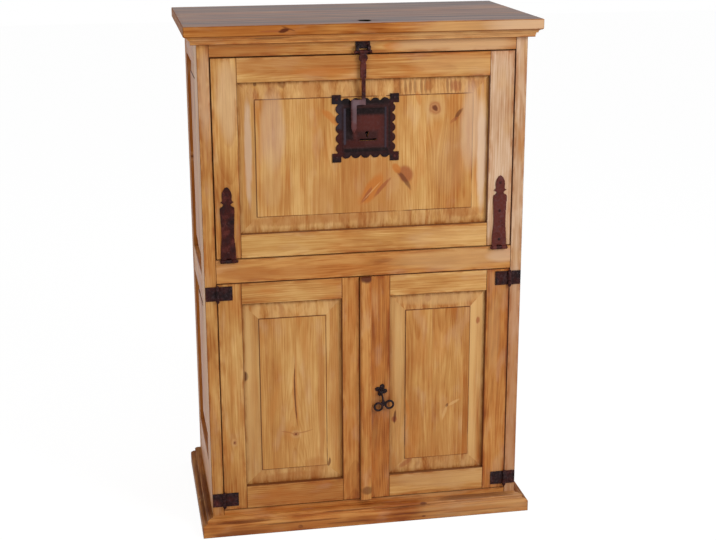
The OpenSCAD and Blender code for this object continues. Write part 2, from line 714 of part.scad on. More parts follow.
// Hasp: hangs from its crossbar, whose ends lie in ears that are open to the front
// Its outline runs down from the crossbar: upper bar, boss, narrow bar, then a bent end to the left
hasp_w = 17;
hasp_top_l = 70;
hasp_boss_r = 12.5;
hasp_boss_z = -16;
hasp_bar = [-5, 6.5];
hasp_elbow_z = -136;
hasp_tail_x = -27;
hasp_tail_z = -226;
module hasp_outline() {
    bar_w = hasp_bar[1] - hasp_bar[0];
    elbow_r = hasp_w / 2;
    below = hasp_boss_z - hasp_boss_r;
    translate([-hasp_w * 0.38, below]) square([hasp_w * 0.76, -below]);
    translate([0, hasp_boss_z]) circle(hasp_boss_r);
    polygon([[-hasp_w * 0.38, below + 2], [hasp_w * 0.38, below + 2], [hasp_w / 2, below - 6],
             [hasp_w / 2, -hasp_top_l], [-hasp_w / 2, -hasp_top_l], [-hasp_w / 2, below - 6]]);
    translate([hasp_bar[0], hasp_elbow_z]) square([bar_w, -hasp_elbow_z - hasp_top_l + 1]);
    translate([hasp_tail_x, hasp_elbow_z - elbow_r])
        square([hasp_bar[1] - hasp_tail_x, hasp_w - 2]);
    translate([hasp_tail_x, hasp_elbow_z]) {
        circle(elbow_r);
        polygon([[-elbow_r, 0], [elbow_r, 0], [elbow_r - 1, hasp_tail_z - hasp_elbow_z + hasp_w],
                 [0, hasp_tail_z - hasp_elbow_z], [1 - elbow_r, hasp_tail_z - hasp_elbow_z + hasp_w]]);
    }
}
module hasp() color("saddlebrown") placed() translate([-hasp_off, hasp_y, hasp_z]) {
    flat_t = 2 * hasp_pin_r;
    bar_l = hasp_eye_w + 2 * ear_w + 8;
    knob_l = 3;
    translate([0, -flat_t / 2, 0]) along_y(flat_t) hasp_outline();
    translate([-hasp_eye_w / 2 + fit, 0, 0]) rotate([0, 90, 0])
        cylinder(r = 2 * hasp_pin_r + fit, h = hasp_eye_w - 2 * fit);
    translate([-bar_l / 2, 0, 0]) rotate([0, 90, 0]) cylinder(r = hasp_pin_r, h = bar_l);
    for (s = [-1, 1]) translate([s * (bar_l - knob_l) / 2, 0, 0]) rotate([0, 90, 0])
        cylinder(r = 1.5 * hasp_pin_r, h = knob_l, center = true);
}
module hasp_bracket() color("dimgray") placed() difference() {
    span = hasp_eye_w + 2 * ear_w;
    slot_r = hasp_pin_r + slot_play;
    left = -hasp_off - span / 2;
    union() {
        translate([left, -plate_t, hasp_z + bracket_up]) cube([span, plate_t, bracket_h]);
        for (s = [0, 1]) translate([left + s * (hasp_eye_w + ear_w), ear_front, hasp_z - ear_low])
            cube([ear_w, -ear_front, ear_h]);
    }
    translate([left - 1, ear_front - 1, hasp_z - slot_r])
        cube([span + 2, hasp_y - ear_front + 1, 2 * slot_r]);
    translate([left - 1, hasp_y, hasp_z]) rotate([0, 90, 0]) cylinder(r = slot_r, h = span + 2);
    nail_holes(bracket_nails);
}

module case_nails() color("black") placed() {
    for (p = concat(post_nails, mirrored(post_nails))) nail(p[0], -plate_t, p[1]);
    for (p = bracket_nails) nail(p[0], -plate_t, p[1]);
}
module fall_nails() color("black") placed() {
    for (p = concat(strap_nails, mirrored(strap_nails))) nail(p[0], -plate_t, p[1]);
    for (p = lock_nails) nail(p[0], field_in - plate_t, p[1]);
}

// Doors
door_panel_h = door_h - door_top_h - door_bottom_h;
strike = [34, 1.5, 12];
function strike_x(i) = catch_x[i] + (catch_size[0] - strike[0]) / 2;
strike_z = door_z1 - catch_size[2] + 0.5;
module strike_pocket(i) translate([strike_x(i) - fit, door_t - strike[1], strike_z - fit])
    cube([strike[0] + 2 * fit, strike[1] + 1, door_top - strike_z + 1]);
module door_strike(i) translate([strike_x(i), door_t - strike[1], strike_z])
    cube([strike[0], strike[1], door_top - strike_z]);
module door_stile_at(x, w) translate([x, 0, door_foot]) stile(w, door_h, door_t);
module outer_stile() difference() {
    door_stile_at(-open_x + door_gap, door_stile_w);
    nail_holes(mirrored(door_nails));
}
module door_rails(x, l) {
    translate([x, 0, door_foot]) rail(l, door_bottom_h, door_t, false, true);
    translate([x, 0, door_top - door_top_h]) rail(l, door_top_h, door_t, true, false);
}
left_rail_l = left_door_w - door_stile_w - meet_stile_w;
right_rail_l = right_door_w - door_stile_w - right_meet_w;
left_rail_x = -open_x + door_gap + door_stile_w;
right_rail_x = open_x - door_gap - door_stile_w - right_rail_l;
module left_door_outer_stile() color("burlywood") placed() outer_stile();
module left_door_inner_stile() color("burlywood") placed() difference() {
    translate([2 * left_edge, 0, 0]) mirror([1, 0, 0]) door_stile_at(left_edge, meet_stile_w);
    strike_pocket(0);
}
module left_door_rails() color("tan") placed() difference() {
    door_rails(left_rail_x, left_rail_l);
    strike_pocket(0);
}
module left_door_panel() color("sandybrown") placed()
    translate([left_rail_x, 0, door_foot + door_bottom_h]) raised_panel(left_rail_l, door_panel_h);
module right_door_outer_stile() color("burlywood") placed() mirror([1, 0, 0]) outer_stile();
pull_nail = [[pull_x, pull_z + 10]];
module right_door_inner_stile() color("burlywood") placed() difference() {
    door_stile_at(-meet_offset, right_meet_w);
    strike_pocket(1);
    nail_holes(pull_nail);
}
module right_door_rails() color("tan") placed() difference() {
    door_rails(right_rail_x, right_rail_l);
    strike_pocket(1);
}
module right_door_panel() color("sandybrown") placed()
    translate([right_rail_x, 0, door_foot + door_bottom_h]) raised_panel(right_rail_l, door_panel_h);

// Astragal: a strip with a rounded front, fixed to the right door over the meeting gap
module astragal() color("chocolate") placed() translate([-meet_offset, 0, door_foot])
    mirror([0, 1, 0]) linear_extrude(door_h) {
        r = 5;
        square([astragal_w, astragal_t - r]);
        translate([r, 0]) square([astragal_w - 2 * r, astragal_t]);
        for (x = [r, astragal_w - r]) translate([x, astragal_t - r]) circle(r);
    }

module left_door_fixings() color("black") placed() {
    for (p = mirrored(door_nails)) nail(p[0], -plate_t, p[1]);
    door_strike(0);
}
module right_door_fixings() color("black") placed() {
    for (p = door_nails) nail(p[0], -plate_t, p[1]);
    for (p = pull_nail) nail(p[0], -plate_t, p[1]);
    door_strike(1);
}

// Pull: rosette of four petals with two ears and a pin, and a drop of two rings that hangs on the pin
petal_r = 20;
petal_turn = -17;
ear_t = 3;
ear_side = 8;
pull_pin_r = 2;
module pull_rosette() color("saddlebrown") placed() translate([pull_x, 0, 0]) {
    difference() {
        translate([0, -plate_t, pull_z]) along_y(plate_t) rotate(petal_turn) {
            circle(petal_r / 2);
            for (a = [0:90:270]) rotate(a) polygon(petal_r * [
                [0.2, -0.25], [0.5, -0.36], [0.8, -0.3], [1, 0], [0.8, 0.3], [0.5, 0.36], [0.2, 0.25]]);
        }
        translate([-pull_x, 0, 0]) nail_holes(pull_nail);
    }
    for (s = [-1, 1]) translate([s * 7 - ear_t / 2, pull_pin_y - ear_side / 2, pull_pin_z - ear_side / 2])
        cube([ear_t, -pull_pin_y + ear_side / 2 - plate_t + 1, ear_side]);
    translate([-9.5, pull_pin_y, pull_pin_z]) rotate([0, 90, 0]) cylinder(r = pull_pin_r, h = 19);
}
ring_r = 11.5;
ring_wire = 3.3;
ring_x = 16.5;
ring_drop = 43;
pull_eye_l = 10;
pull_lean = 9;
stem_r = 3.2;
knob_r = 5.5;
module drop_pull() color("saddlebrown") placed() translate([pull_x, pull_pin_y, pull_pin_z])
    difference() {
        union() {
            translate([-pull_eye_l / 2, 0, 0]) rotate([0, 90, 0])
                cylinder(r = pull_pin_r + 2.6, h = pull_eye_l);
            rotate([0, -pull_lean, 0]) {
                translate([0, 0, -ring_drop]) cylinder(r = stem_r, h = ring_drop - stem_r);
                for (s = [-1, 1]) translate([s * ring_x, 0, -ring_drop]) rotate([90, 0, 0])
                    rotate_extrude() translate([ring_r, 0]) circle(ring_wire, $fn = 32);
                translate([0, 0, -ring_drop + ring_r]) sphere(knob_r);
            }
        }
        translate([-pull_eye_l, 0, 0]) rotate([0, 90, 0])
            cylinder(r = pull_pin_r + pin_gap, h = 2 * pull_eye_l);
    }

left_front_post();
right_front_post();
left_back_post();
right_back_post();
left_side_rails();
right_side_rails();
left_upper_panel();
left_lower_panel();
right_upper_panel();
right_lower_panel();
top_rail();
middle_rail();
bottom_rail();
plinth_front();
plinth_left();
plinth_right();
top_board();
cornice_front();
cornice_left();
cornice_right();
bar_deck();
cabinet_floor();
lower_shelf();
bar_shelf();
cleats();
back_boards();
door_catches();
case_hinge_leaves();
fall_hinge_leaves();
hinge_pins();
hasp_bracket();
stay_guides();
case_nails();
fall_left_stile();
fall_right_stile();
fall_top_rail();
fall_bottom_rail();
fall_panel();
left_strap_hinge();
right_strap_hinge();
lock_plate();
lock_case();
fall_stays();
fall_nails();
hasp();
left_door_outer_stile();
left_door_inner_stile();
left_door_rails();
left_door_panel();
left_door_leaves();
left_door_fixings();
right_door_outer_stile();
right_door_inner_stile();
right_door_rails();
right_door_panel();
astragal();
right_door_leaves();
right_door_fixings();
pull_rosette();
drop_pull();
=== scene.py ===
# %% [markdown]
# # A pine bar cabinet in a small studio
#
# The cabinet has a wide fall over a pair of doors, and it is fitted with forged iron. Its solids come from
# a packed CAD model, where every board and every hinge is one named node. Blender gives them their looks: the
# wood with its grain and knots, the iron with its hammer marks, and the light. This first cell loads the frame.

# %% Load the frame
import json
import math
import random

import bpy
from mathutils import Matrix, Vector, noise


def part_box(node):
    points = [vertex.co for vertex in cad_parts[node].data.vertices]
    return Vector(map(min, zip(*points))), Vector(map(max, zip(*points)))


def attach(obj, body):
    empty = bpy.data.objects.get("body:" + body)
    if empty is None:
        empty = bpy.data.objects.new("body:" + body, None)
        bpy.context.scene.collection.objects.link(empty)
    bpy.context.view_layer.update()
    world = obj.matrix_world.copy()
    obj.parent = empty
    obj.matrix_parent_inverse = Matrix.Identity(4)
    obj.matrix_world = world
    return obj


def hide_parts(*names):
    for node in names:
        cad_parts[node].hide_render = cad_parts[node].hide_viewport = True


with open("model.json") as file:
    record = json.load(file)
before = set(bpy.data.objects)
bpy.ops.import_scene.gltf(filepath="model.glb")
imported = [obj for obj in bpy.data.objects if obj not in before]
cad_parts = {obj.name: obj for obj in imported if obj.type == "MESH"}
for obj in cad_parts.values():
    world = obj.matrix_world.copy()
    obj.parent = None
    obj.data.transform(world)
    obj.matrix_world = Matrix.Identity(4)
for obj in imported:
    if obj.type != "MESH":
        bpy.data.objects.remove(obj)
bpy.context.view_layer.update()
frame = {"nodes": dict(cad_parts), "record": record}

# %% [markdown]
# # Camera
#
# A camera can be placed by eye, but a cabinet is all straight lines, so a wrong lens or height shows at once.
# The values here come from fitting a camera to the known edges of the case. It stands left of the middle,
# above the top board, and looks right and down. Its three axes are written out and become a rotation matrix,
# which avoids any doubt about the order of turns.

# %% Place the camera
CAMERA_PLACE = Vector((-0.6912, -3.8920, 1.8614))
TURN_RIGHT = 0.1811  # radians, as the next two
TILT_DOWN = 0.2847
ROLL = -0.0038
FOCAL_PIXELS = 1364.8
WIDTH_PIXELS = 716
SENSOR_MM = 36

look = Vector((math.sin(TURN_RIGHT) * math.cos(TILT_DOWN),
               math.cos(TURN_RIGHT) * math.cos(TILT_DOWN),
               -math.sin(TILT_DOWN)))
level_right = Vector((math.cos(TURN_RIGHT), -math.sin(TURN_RIGHT), 0))
level_up = level_right.cross(look)
right = level_right * math.cos(ROLL) + level_up * math.sin(ROLL)
up = level_up * math.cos(ROLL) - level_right * math.sin(ROLL)

camera_data = bpy.data.cameras.new("photo_camera")
camera_data.sensor_width = SENSOR_MM
camera_data.lens = FOCAL_PIXELS / WIDTH_PIXELS * SENSOR_MM
camera = bpy.data.objects.new("photo_camera", camera_data)
bpy.context.scene.collection.objects.link(camera)
turn = Matrix((right, up, -look)).transposed()
camera.matrix_world = Matrix.Translation(CAMERA_PLACE) @ turn.to_4x4()
bpy.context.scene.camera = camera
print("lens: %.1f mm" % camera_data.lens)

# %% [markdown]
# # Shader sums as Python sums
#
# A finish is a small calculation for each point of a surface: where the point lies on the board, how far it is
# from the heart of the tree, how much stain it took. Wiring that by hand takes hundreds of lines. Here a Wire is
# one output of a node, and adding, multiplying or comparing wires adds the Math nodes for it. Every other kind
# of node comes from add(), which takes the node's type, its settings and what goes into its sockets.

# %% The wire class
class Wire:
    """An output of a node, or an empty sheet to start from. Sums of wires and numbers add Math nodes."""

    def __init__(self, tree, socket=None):
        self.tree, self.socket = tree, socket

    def add(self, kind, settings=None, sockets=None, out=0):
        node = self.tree.nodes.new(kind)
        for key, value in (settings or {}).items():
            if key == "stops":
                ramp = node.color_ramp
                while len(ramp.elements) < len(value):
                    ramp.elements.new(0.5)
                for element, (place, colour) in zip(ramp.elements, value):
                    element.position, element.color = place, colour
            else:
                setattr(node, key, value)
        for key, value in (sockets or {}).items():
            if isinstance(value, Wire):
                self.tree.links.new(value.socket, node.inputs[key])
            else:
                node.inputs[key].default_value = value
        return Wire(self.tree, node.outputs[out])

    def sum(self, operation, *values, clamp=False):
        settings = {"operation": operation, "use_clamp": True} if clamp else {"operation": operation}
        return self.add("ShaderNodeMath", settings, dict(enumerate(values)))

    def __add__(self, other): return self.sum("ADD", self, other)
    def __radd__(self, other): return self.sum("ADD", other, self)
    def __sub__(self, other): return self.sum("SUBTRACT", self, other)
    def __rsub__(self, other): return self.sum("SUBTRACT", other, self)
    def __mul__(self, other): return self.sum("MULTIPLY", self, other)
    def __rmul__(self, other): return self.sum("MULTIPLY", other, self)
    def __truediv__(self, other): return self.sum("DIVIDE", self, other)
    def __rtruediv__(self, other): return self.sum("DIVIDE", other, self)
    def __gt__(self, other): return self.sum("GREATER_THAN", self, other)
    def __abs__(self): return self.sum("ABSOLUTE", self)

    def least(self, other): return self.sum("MINIMUM", self, other)
    def most(self, other): return self.sum("MAXIMUM", self, other)
    def root(self): return self.sum("SQRT", self)
    def fraction(self): return self.sum("FRACT", self)
    def clip(self): return self.sum("ADD", self, 0.0, clamp=True)

    def vector(self, operation, *others, **named):
        """Vector Math on this vector; its socket Scale goes in by name."""
        sockets = dict(enumerate((self,) + others))
        return self.add("ShaderNodeVectorMath", {"operation": operation}, {**sockets, **named})

    def split(self):
        """The three parts of a vector as three wires."""
        parts = self.add("ShaderNodeSeparateXYZ", sockets={0: self})
        return [Wire(self.tree, socket) for socket in parts.socket.node.outputs]

    def rise(self, low, high):
        """0 below low, 1 above high and a soft slope between them; with low above high it falls."""
        return self.add("ShaderNodeMapRange", {"interpolation_type": "SMOOTHSTEP"},
                        {0: self, 1: low, 2: high})

    def colours(self, *stops):
        """A colour for each value of the wire, from stops of (value, colour)."""
        return self.add("ShaderNodeValToRGB", {"stops": stops}, {0: self})

    def paint(self, other, share, how="MIX"):
        """This colour with a share of another over it."""
        return self.add("ShaderNodeMix", {"data_type": "RGBA", "blend_type": how},
                        {0: share, 6: self, 7: other}, out=2)


def srgb(red, green, blue):
    """A colour as it is read off a screen, 0 to 255, turned into the linear values that shaders use."""
    def linear(value):
        value /= 255
        return value / 12.92 if value <= 0.04045 else ((value + 0.055) / 1.055) ** 2.4
    return (linear(red), linear(green), linear(blue), 1.0)


def new_finish(name):
    """A new material and the empty sheet for its nodes."""
    material = bpy.data.materials.new(name)
    material.use_nodes = True
    material.node_tree.nodes.clear()
    return material, Wire(material.node_tree)


def finish_with(sheet, shader):
    """Makes a shader the surface of the sheet's material."""
    output = sheet.tree.nodes.new("ShaderNodeOutputMaterial")
    sheet.tree.links.new(shader.socket, output.inputs["Surface"])


def dress(node, material):
    """Gives a CAD node its finish without touching its mesh."""
    for place in frame["nodes"][node].material_slots:
        place.link = "OBJECT"
        place.material = material


print("a mid honey tone in linear values:", [round(c, 3) for c in srgb(196, 146, 92)[:3]])

# %% [markdown]
# # Studio
#
# The cabinet stands on a white sweep. A floor that is simply lit until it is white would also bleach the wood,
# so the floor and the world answer the camera with white, while the lamps stay at a level at which
# a colour comes out as it is written. The floor keeps a fifth of its real shading, and with it the shadow.

# %% Floor and world
FLOOR_HALF = 14.0
WHITE_SHARE = 0.80
WHITE_STRENGTH = 1.16
AMBIENT = 0.37


def looked_at(sheet):
    """1 where the camera, a reflection or glass looks at a surface, 0 where the surface only sends light."""
    rays = [sheet.add("ShaderNodeLightPath", out=ray)
            for ray in ("Is Camera Ray", "Is Glossy Ray", "Is Transmission Ray")]
    return rays[0].most(rays[1]).most(rays[2])


floor_mesh = bpy.data.meshes.new("studio_floor")
floor_mesh.from_pydata([(-FLOOR_HALF, -FLOOR_HALF, 0), (FLOOR_HALF, -FLOOR_HALF, 0),
                        (FLOOR_HALF, FLOOR_HALF, 0), (-FLOOR_HALF, FLOOR_HALF, 0)], [], [(0, 1, 2, 3)])
floor = bpy.data.objects.new("studio_floor", floor_mesh)
bpy.context.scene.collection.objects.link(floor)

floor_finish, sheet = new_finish("studio_white")
matt = sheet.add("ShaderNodeBsdfDiffuse", sockets={"Color": (0.8, 0.8, 0.8, 1)})
white = sheet.add("ShaderNodeEmission", sockets={"Color": (1, 1, 1, 1), "Strength": WHITE_STRENGTH})
finish_with(sheet, sheet.add("ShaderNodeMixShader", sockets={0: looked_at(sheet) * WHITE_SHARE, 1: matt, 2: white}))
floor_mesh.materials.append(floor_finish)

world = bpy.data.worlds.new("studio_air")
bpy.context.scene.world = world
world.use_nodes = True
world.node_tree.nodes.clear()
air = Wire(world.node_tree)
strength = AMBIENT + looked_at(air) * (1 - AMBIENT)
sky = air.add("ShaderNodeBackground", sockets={"Color": (1, 1, 1, 1), "Strength": strength})
world_out = air.tree.nodes.new("ShaderNodeOutputWorld")
air.tree.links.new(sky.socket, world_out.inputs["Surface"])
print("floor: %g m square, air at %g" % (2 * FLOOR_HALF, AMBIENT))

# %% [markdown]
# # Lamps
#
# A cabinet in a shop is lit by broad soft boxes, because a bare bulb would put one hot spot on the waxed boards.
# Three square lamps do it here. The key stands to the right, rather close, so that the right side comes out
# brighter than the left. The fill opens the shadows from the left, and a weak one hangs over the top board.

# %% Place the lamps
def softbox(name, place, size, watts, aim=(0, 0, 0.75)):
    """A square lamp at a place, turned towards the point that it lights."""
    lamp = bpy.data.lights.new(name, "AREA")
    lamp.shape, lamp.size, lamp.energy = "SQUARE", size, watts
    holder = bpy.data.objects.new(name, lamp)
    bpy.context.scene.collection.objects.link(holder)
    holder.location = place
    holder.rotation_euler = (Vector(aim) - Vector(place)).to_track_quat("-Z", "Y").to_euler()


softbox("key_lamp", (2.0, -2.5, 2.5), size=1.6, watts=59)
softbox("fill_lamp", (-2.6, -3.0, 1.6), size=2.2, watts=18)
softbox("top_lamp", (0.2, -0.3, 3.8), size=2.0, watts=12)
bpy.context.scene.view_settings.view_transform = "Standard"

# %% [markdown]
# # Where a point lies on its board
#
# Wood looks like wood because its figure follows the board: the streaks run along it, the rings are cut by its
# face, and it stays the same when a door is opened. A node of the frame sits at the origin, so the Object
# coordinate of a point is its place in the cabinet, and it rides along with the node. Three letters say which
# axes of the cabinet run along, across and into a board. Some nodes hold several like boards, and the faces of
# their meshes tell where one ends and the next begins.

# %% Measure the boards
MM = 1000.0
LEAST_GAP = 0.5  # mm between two boards of a node
SAME_PLANE = 0.05


def box_mm(node):
    """Low and high corners of a node in mm."""
    return [[value * MM for value in corner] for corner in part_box(node)]


def stack(node, axis):
    """Low and high ends, along an axis, of the separate boards in a node."""
    mesh = frame["nodes"][node].data
    level = [point.co[axis] * MM for point in mesh.vertices]
    spans = sorted((min(level[i] for i in face.vertices), max(level[i] for i in face.vertices))
                   for face in mesh.polygons)
    parts = [list(spans[0])]
    for low, high in spans[1:]:
        if low > parts[-1][1] + LEAST_GAP:
            parts.append([low, high])
        else:
            parts[-1][1] = max(parts[-1][1], high)
    return parts


def field_box(node, deep, outward):
    """Low and high corners of the foremost flat of a raised panel."""
    points = [point.co * MM for point in frame["nodes"][node].data.vertices]
    front = max(point[deep] * outward for point in points)
    flat = [point for point in points if point[deep] * outward > front - SAME_PLANE]
    return [[min(point[i] for point in flat) for i in range(3)],
            [max(point[i] for point in flat) for i in range(3)]]


print("left side rails lie at:", [[round(v) for v in part] for part in stack("left_side_rails", 2)])
print("field of the fall:", [[round(v) for v in corner] for corner in field_box("fall_panel", 1, -1)])

# %% [markdown]
# # Pine, board by board
#
# The boards are sawn from small knotty pines, stained honey and waxed. Each gets a finish of its own, built from
# what happens in the tree and at the bench: rings round a heart that lies somewhere behind the face, broad
# streaks where the stain went in unevenly, knots that push the grain aside, end grain that drinks more stain,
# and dirt and painted shade in the joints. A picture of wood would be quicker, but it would repeat from board to
# board and would not turn with the end grain. The class here holds what all those steps share.

# %% One board's sheet
NEXT_BOARD = (7.3, 3.1)  # how far the noise moves, across and along, from one board of a node to the next


class Board:
    """A board's finish in the making. Lengths are in mm: along the grain, across it, and into the board."""

    def __init__(self, node, lie, seams=()):
        self.chance = random.Random(node)
        self.material, self.sheet = new_finish("pine_" + node)
        self.order = ["xyz".index(letter) for letter in lie]
        place = self.sheet.add("ShaderNodeTexCoord", out="Object").vector("SCALE", Scale=MM).split()
        facing = self.sheet.add("ShaderNodeTexCoord", out="Normal").split()
        self.look = facing[self.order[1]]
        self.along, self.across, self.deep = (place[i] for i in self.order)
        self.tilt_along, self.tilt_across, self.tilt_deep = (abs(facing[i]) for i in self.order)
        self.low, self.high = ([corner[i] for i in self.order] for corner in box_mm(node))
        stacked = stack(node, self.order[1])
        self.edges = [edge for part in stacked for edge in part]
        between = [(first[1] + second[0]) / 2 for first, second in zip(stacked, stacked[1:])]
        self.seams = sorted(list(seams) + between)
        self.count = sum((self.across > seam for seam in self.seams), 0.0)
        limits = [self.low[1]] + self.seams + [self.high[1]]
        self.middles = [(first + second) / 2 for first, second in zip(limits, limits[1:])]

    def each(self, values):
        """A wire that changes to the next of the values at each seam."""
        wire = values[0]
        for seam, first, second in zip(self.seams, values, values[1:]):
            wire = (self.across > seam) * (second - first) + wire
        return wire

    def cloud(self, width, length, detail=2, across=None, into=None):
        """Soft noise about 0.5, with shapes of a width, a length and a depth in mm that follow the grain."""
        shift = self.chance.uniform(-99, 99)
        spot = self.sheet.add("ShaderNodeCombineXYZ", sockets={
            0: (across or self.across) / width + self.count * NEXT_BOARD[0],
            1: self.deep / (into or width) + shift,
            2: self.along / length + self.count * NEXT_BOARD[1]})
        return self.sheet.add("ShaderNodeTexNoise", sockets={"Vector": spot, "Scale": 1.0, "Detail": detail})

    def rectangle(self, low, high):
        """Distance from the border of a rectangle in the board's face, below 0 inside."""
        sides = []
        for wire, first, second in zip((self.along, self.across), low, high):
            sides.append(abs(wire - (first + second) / 2) - (second - first) / 2)
        return sides[0].most(sides[1])


print("a board can:", [name for name in vars(Board) if not name.startswith("_")])

# %% [markdown]
# # Colours of the wood
#
# Pine that is stained honey has three tones at once: pale early wood, the tone that one would name, and
# streaks that took too much. Four mixes of them cover the boards, from a pale pink one, which is painted sheen of
# the key lamp on the right stile and post, to the deep mouldings.
# The rest are marks. The second coat of stain isn't a colour but a filter: it takes most of the blue and
# little of the red, so it is multiplied with what lies under it, where a plain mix would flatten the grain.

# %% Stains and marks
ORANGE = srgb(198, 116, 46)
GOLD = srgb(206, 154, 84)
HALO_AND_SHEEN = srgb(214, 168, 112)  # the pale rim round a knot, pale smears, and painted sheen of the key lamp on the right of the front
KNOT = srgb(166, 92, 50)
HEART = srgb(92, 42, 22)
END_GRAIN = srgb(120, 68, 30)
# dirt, and painted shade in joints, grooves, gaps and creases
DIRT_AND_SHADE = srgb(88, 36, 10)
STAINED = (0.62, 0.36, 0.17, 1)  # what a second coat of stain leaves of each colour
# pale wood of the cut slopes, also used as painted highlight on side slopes and in pale strokes
PALE_AND_HIGHLIGHT = srgb(232, 186, 122)
SLOPE_BAR = srgb(134, 78, 34)
# grey of a painted reflection and painted shade on the top board's face
REFLECTED_GREY = srgb(97, 81, 79)
PINK_AND_SHEEN = srgb(226, 194, 164)
TAWNY = srgb(178, 108, 50)
# black of a black mark on the top board
BLACK_MARK_TINT = srgb(14, 9, 7)
TONES = {  # pale, middle and deep streaks
    # a pale pink mix: painted sheen of the key lamp, for the pieces on the right
    "rosy": (srgb(228, 196, 166), srgb(208, 168, 132), srgb(178, 126, 84)),
    "honey": (srgb(230, 182, 114), srgb(202, 143, 77), srgb(168, 98, 38)),
    "amber": (srgb(214, 152, 84), srgb(189, 118, 54), srgb(146, 76, 26)),
    "deep": (srgb(186, 124, 66), srgb(156, 96, 46), srgb(108, 56, 22)),
}
print("tones:", ", ".join(TONES))

# %% [markdown]
# # What grew in the tree
#
# Knots come first, because the grain flows round them: near a knot the place across the board is drawn back
# to the knot's middle, so one streak spreads round it. The rings are the distance from the heart, wrapped into
# steps of a few mm, with the dark late wood at the end of each step. Streaks in three sizes then follow the bent
# grain. Blender's Wave texture also makes rings, but they run straight through a knot.

# %% Knots, rings and streaks
KNOT_PULL = 0.85  # how far a knot draws the grain to its middle


def flow_round(board, knots):
    """The place across the board as the grain sees it, and the distance from each knot in its own radii."""
    grain, distances = board.across, []
    for across, along, radius, stretch, strength in knots:
        side, up = board.across - across, board.along - along
        ragged = board.cloud(radius * 1.2, radius * 1.6) - 0.5
        tall = up / stretch
        distances.append(((side * side + tall * tall).root() / radius + ragged * 0.9, strength))
        tall = up / (stretch * 2.6)
        near = (side * side + tall * tall).root().rise(radius * 3.6, radius * 0.4)
        grain = grain - side * near * KNOT_PULL
    return grain, distances


def late_wood(board, grain):
    """0 in the early wood and 1 in the dark end of each ring."""
    chance = board.chance
    heart = board.each([middle + chance.uniform(-35, 35) for middle in board.middles])
    sway = (board.cloud(140, 600, 1) - 0.5) * 60
    sink = (board.cloud(140, 700, 1) - 0.5) * 60
    side = grain - heart + sway
    behind = chance.choice((-1, 1)) * chance.uniform(30, 60)
    down = board.deep - (board.low[2] + board.high[2]) / 2 + behind + sink
    ring_mm = chance.uniform(4.2, 6.2)
    ring = ((side * side + down * down).root() / ring_mm).fraction()
    return ring.rise(0.3, 0.88) * ring.rise(1.0, 0.92)


def streaks(board, grain):
    """Broad streaks, narrow ones and fibres, each about 0.5."""
    return board.cloud(34, 600, 2, grain), board.cloud(6, 300, 2, grain), board.cloud(2, 90, 1, grain)


def with_knots(colour, distances):
    """Paints each knot from its rim to its heart."""
    for away, strength in distances:
        colour = colour.paint(HALO_AND_SHEEN, away.rise(2.6, 1.2) * 0.45)
        colour = colour.paint(KNOT, away.rise(1.35, 0.75) * strength * 0.8)
        colour = colour.paint(HALO_AND_SHEEN, away.rise(0.9, 0.7) * away.rise(0.5, 0.65) * strength * 0.3)
        colour = colour.paint(HEART, away.rise(0.62, 0.3) * strength * 0.9)
    return colour


print("the grain is drawn in by %g of its distance at a knot" % KNOT_PULL)

# %% [markdown]
# # What the stain did
#
# Stain sinks in by chance. It drifts from dark to pale over a hand's breadth, it mottles over a thumb's, and
# here and there it turns gold, orange or pink. One sum of streaks, rings, drift and mottles picks the tone from
# a ramp, because separate layers of colour would each wash out the others. Over the top board's face lies a
# painted grey reflection and painted shade, thicker in the streaks.

# %% Stain and grey
FIGURE_SHARES = (0.55, 0.55, 0.65)  # of the broad streaks, the narrow ones and the fibres
LATE_SHARE = 0.13
DRIFT_SHARE = 1.05
MOTTLE_SHARE = 0.6
MIDDLE_TONE = 0.54


def stained(board, tone, figure, late, shift, contrast, stain):
    """The stained colour of a board, with one step of tone for each of its pieces."""
    drift, mottle = board.cloud(110, 260, 4), board.cloud(24, 90, 5)
    steps = [shift + board.chance.uniform(-0.06, 0.06) for _ in board.middles]
    value = (drift - 0.5) * DRIFT_SHARE + (mottle - 0.5) * MOTTLE_SHARE - late * LATE_SHARE
    for cloud, share in zip(figure, FIGURE_SHARES):
        value = (cloud - 0.5) * share + value
    value = value * contrast + MIDDLE_TONE + board.each(steps)
    pale, middle, deep = TONES[tone]
    colour = value.clip().colours((0.14, deep), (0.5, middle), (0.86, pale))
    colour = colour.paint(GOLD, board.cloud(45, 120, 2).rise(0.48, 0.7) * 0.3)
    colour = colour.paint(ORANGE, board.cloud(40, 150, 2).rise(0.48, 0.72) * stain)
    return colour.paint(PINK_AND_SHEEN, board.cloud(38, 110, 3).rise(0.52, 0.72) * 0.14)


def with_painted_reflection(board, colour, figure, share):
    """Lays a painted grey reflection and painted shade over the face of a board, thicker in its streaks."""
    broad, narrow, _ = figure
    thicker = (broad - 0.5) * 1.4 + (narrow - 0.5) * 1.2
    return colour.paint(REFLECTED_GREY, board.tilt_deep.rise(0.7, 0.9) * (thicker + share).clip())


print("shares of the tone:", FIGURE_SHARES, LATE_SHARE, DRIFT_SHARE, MOTTLE_SHARE)

# %% [markdown]
# # Slopes of a raised panel
#
# The four slopes round a raised field are cut across the grain at the ends and along it at the sides. So the end
# slopes drink the stain in short bars and blots. The side slopes get a painted highlight, with a strength for
# each side. A thin dark line marks the step up to the field. The solid has the slopes already, and the normal
# tells which one a point is on.

# %% Paint the slopes
FLAT_TO_SLOPE = (0.05, 0.14)  # how far the normal leans where a slope begins


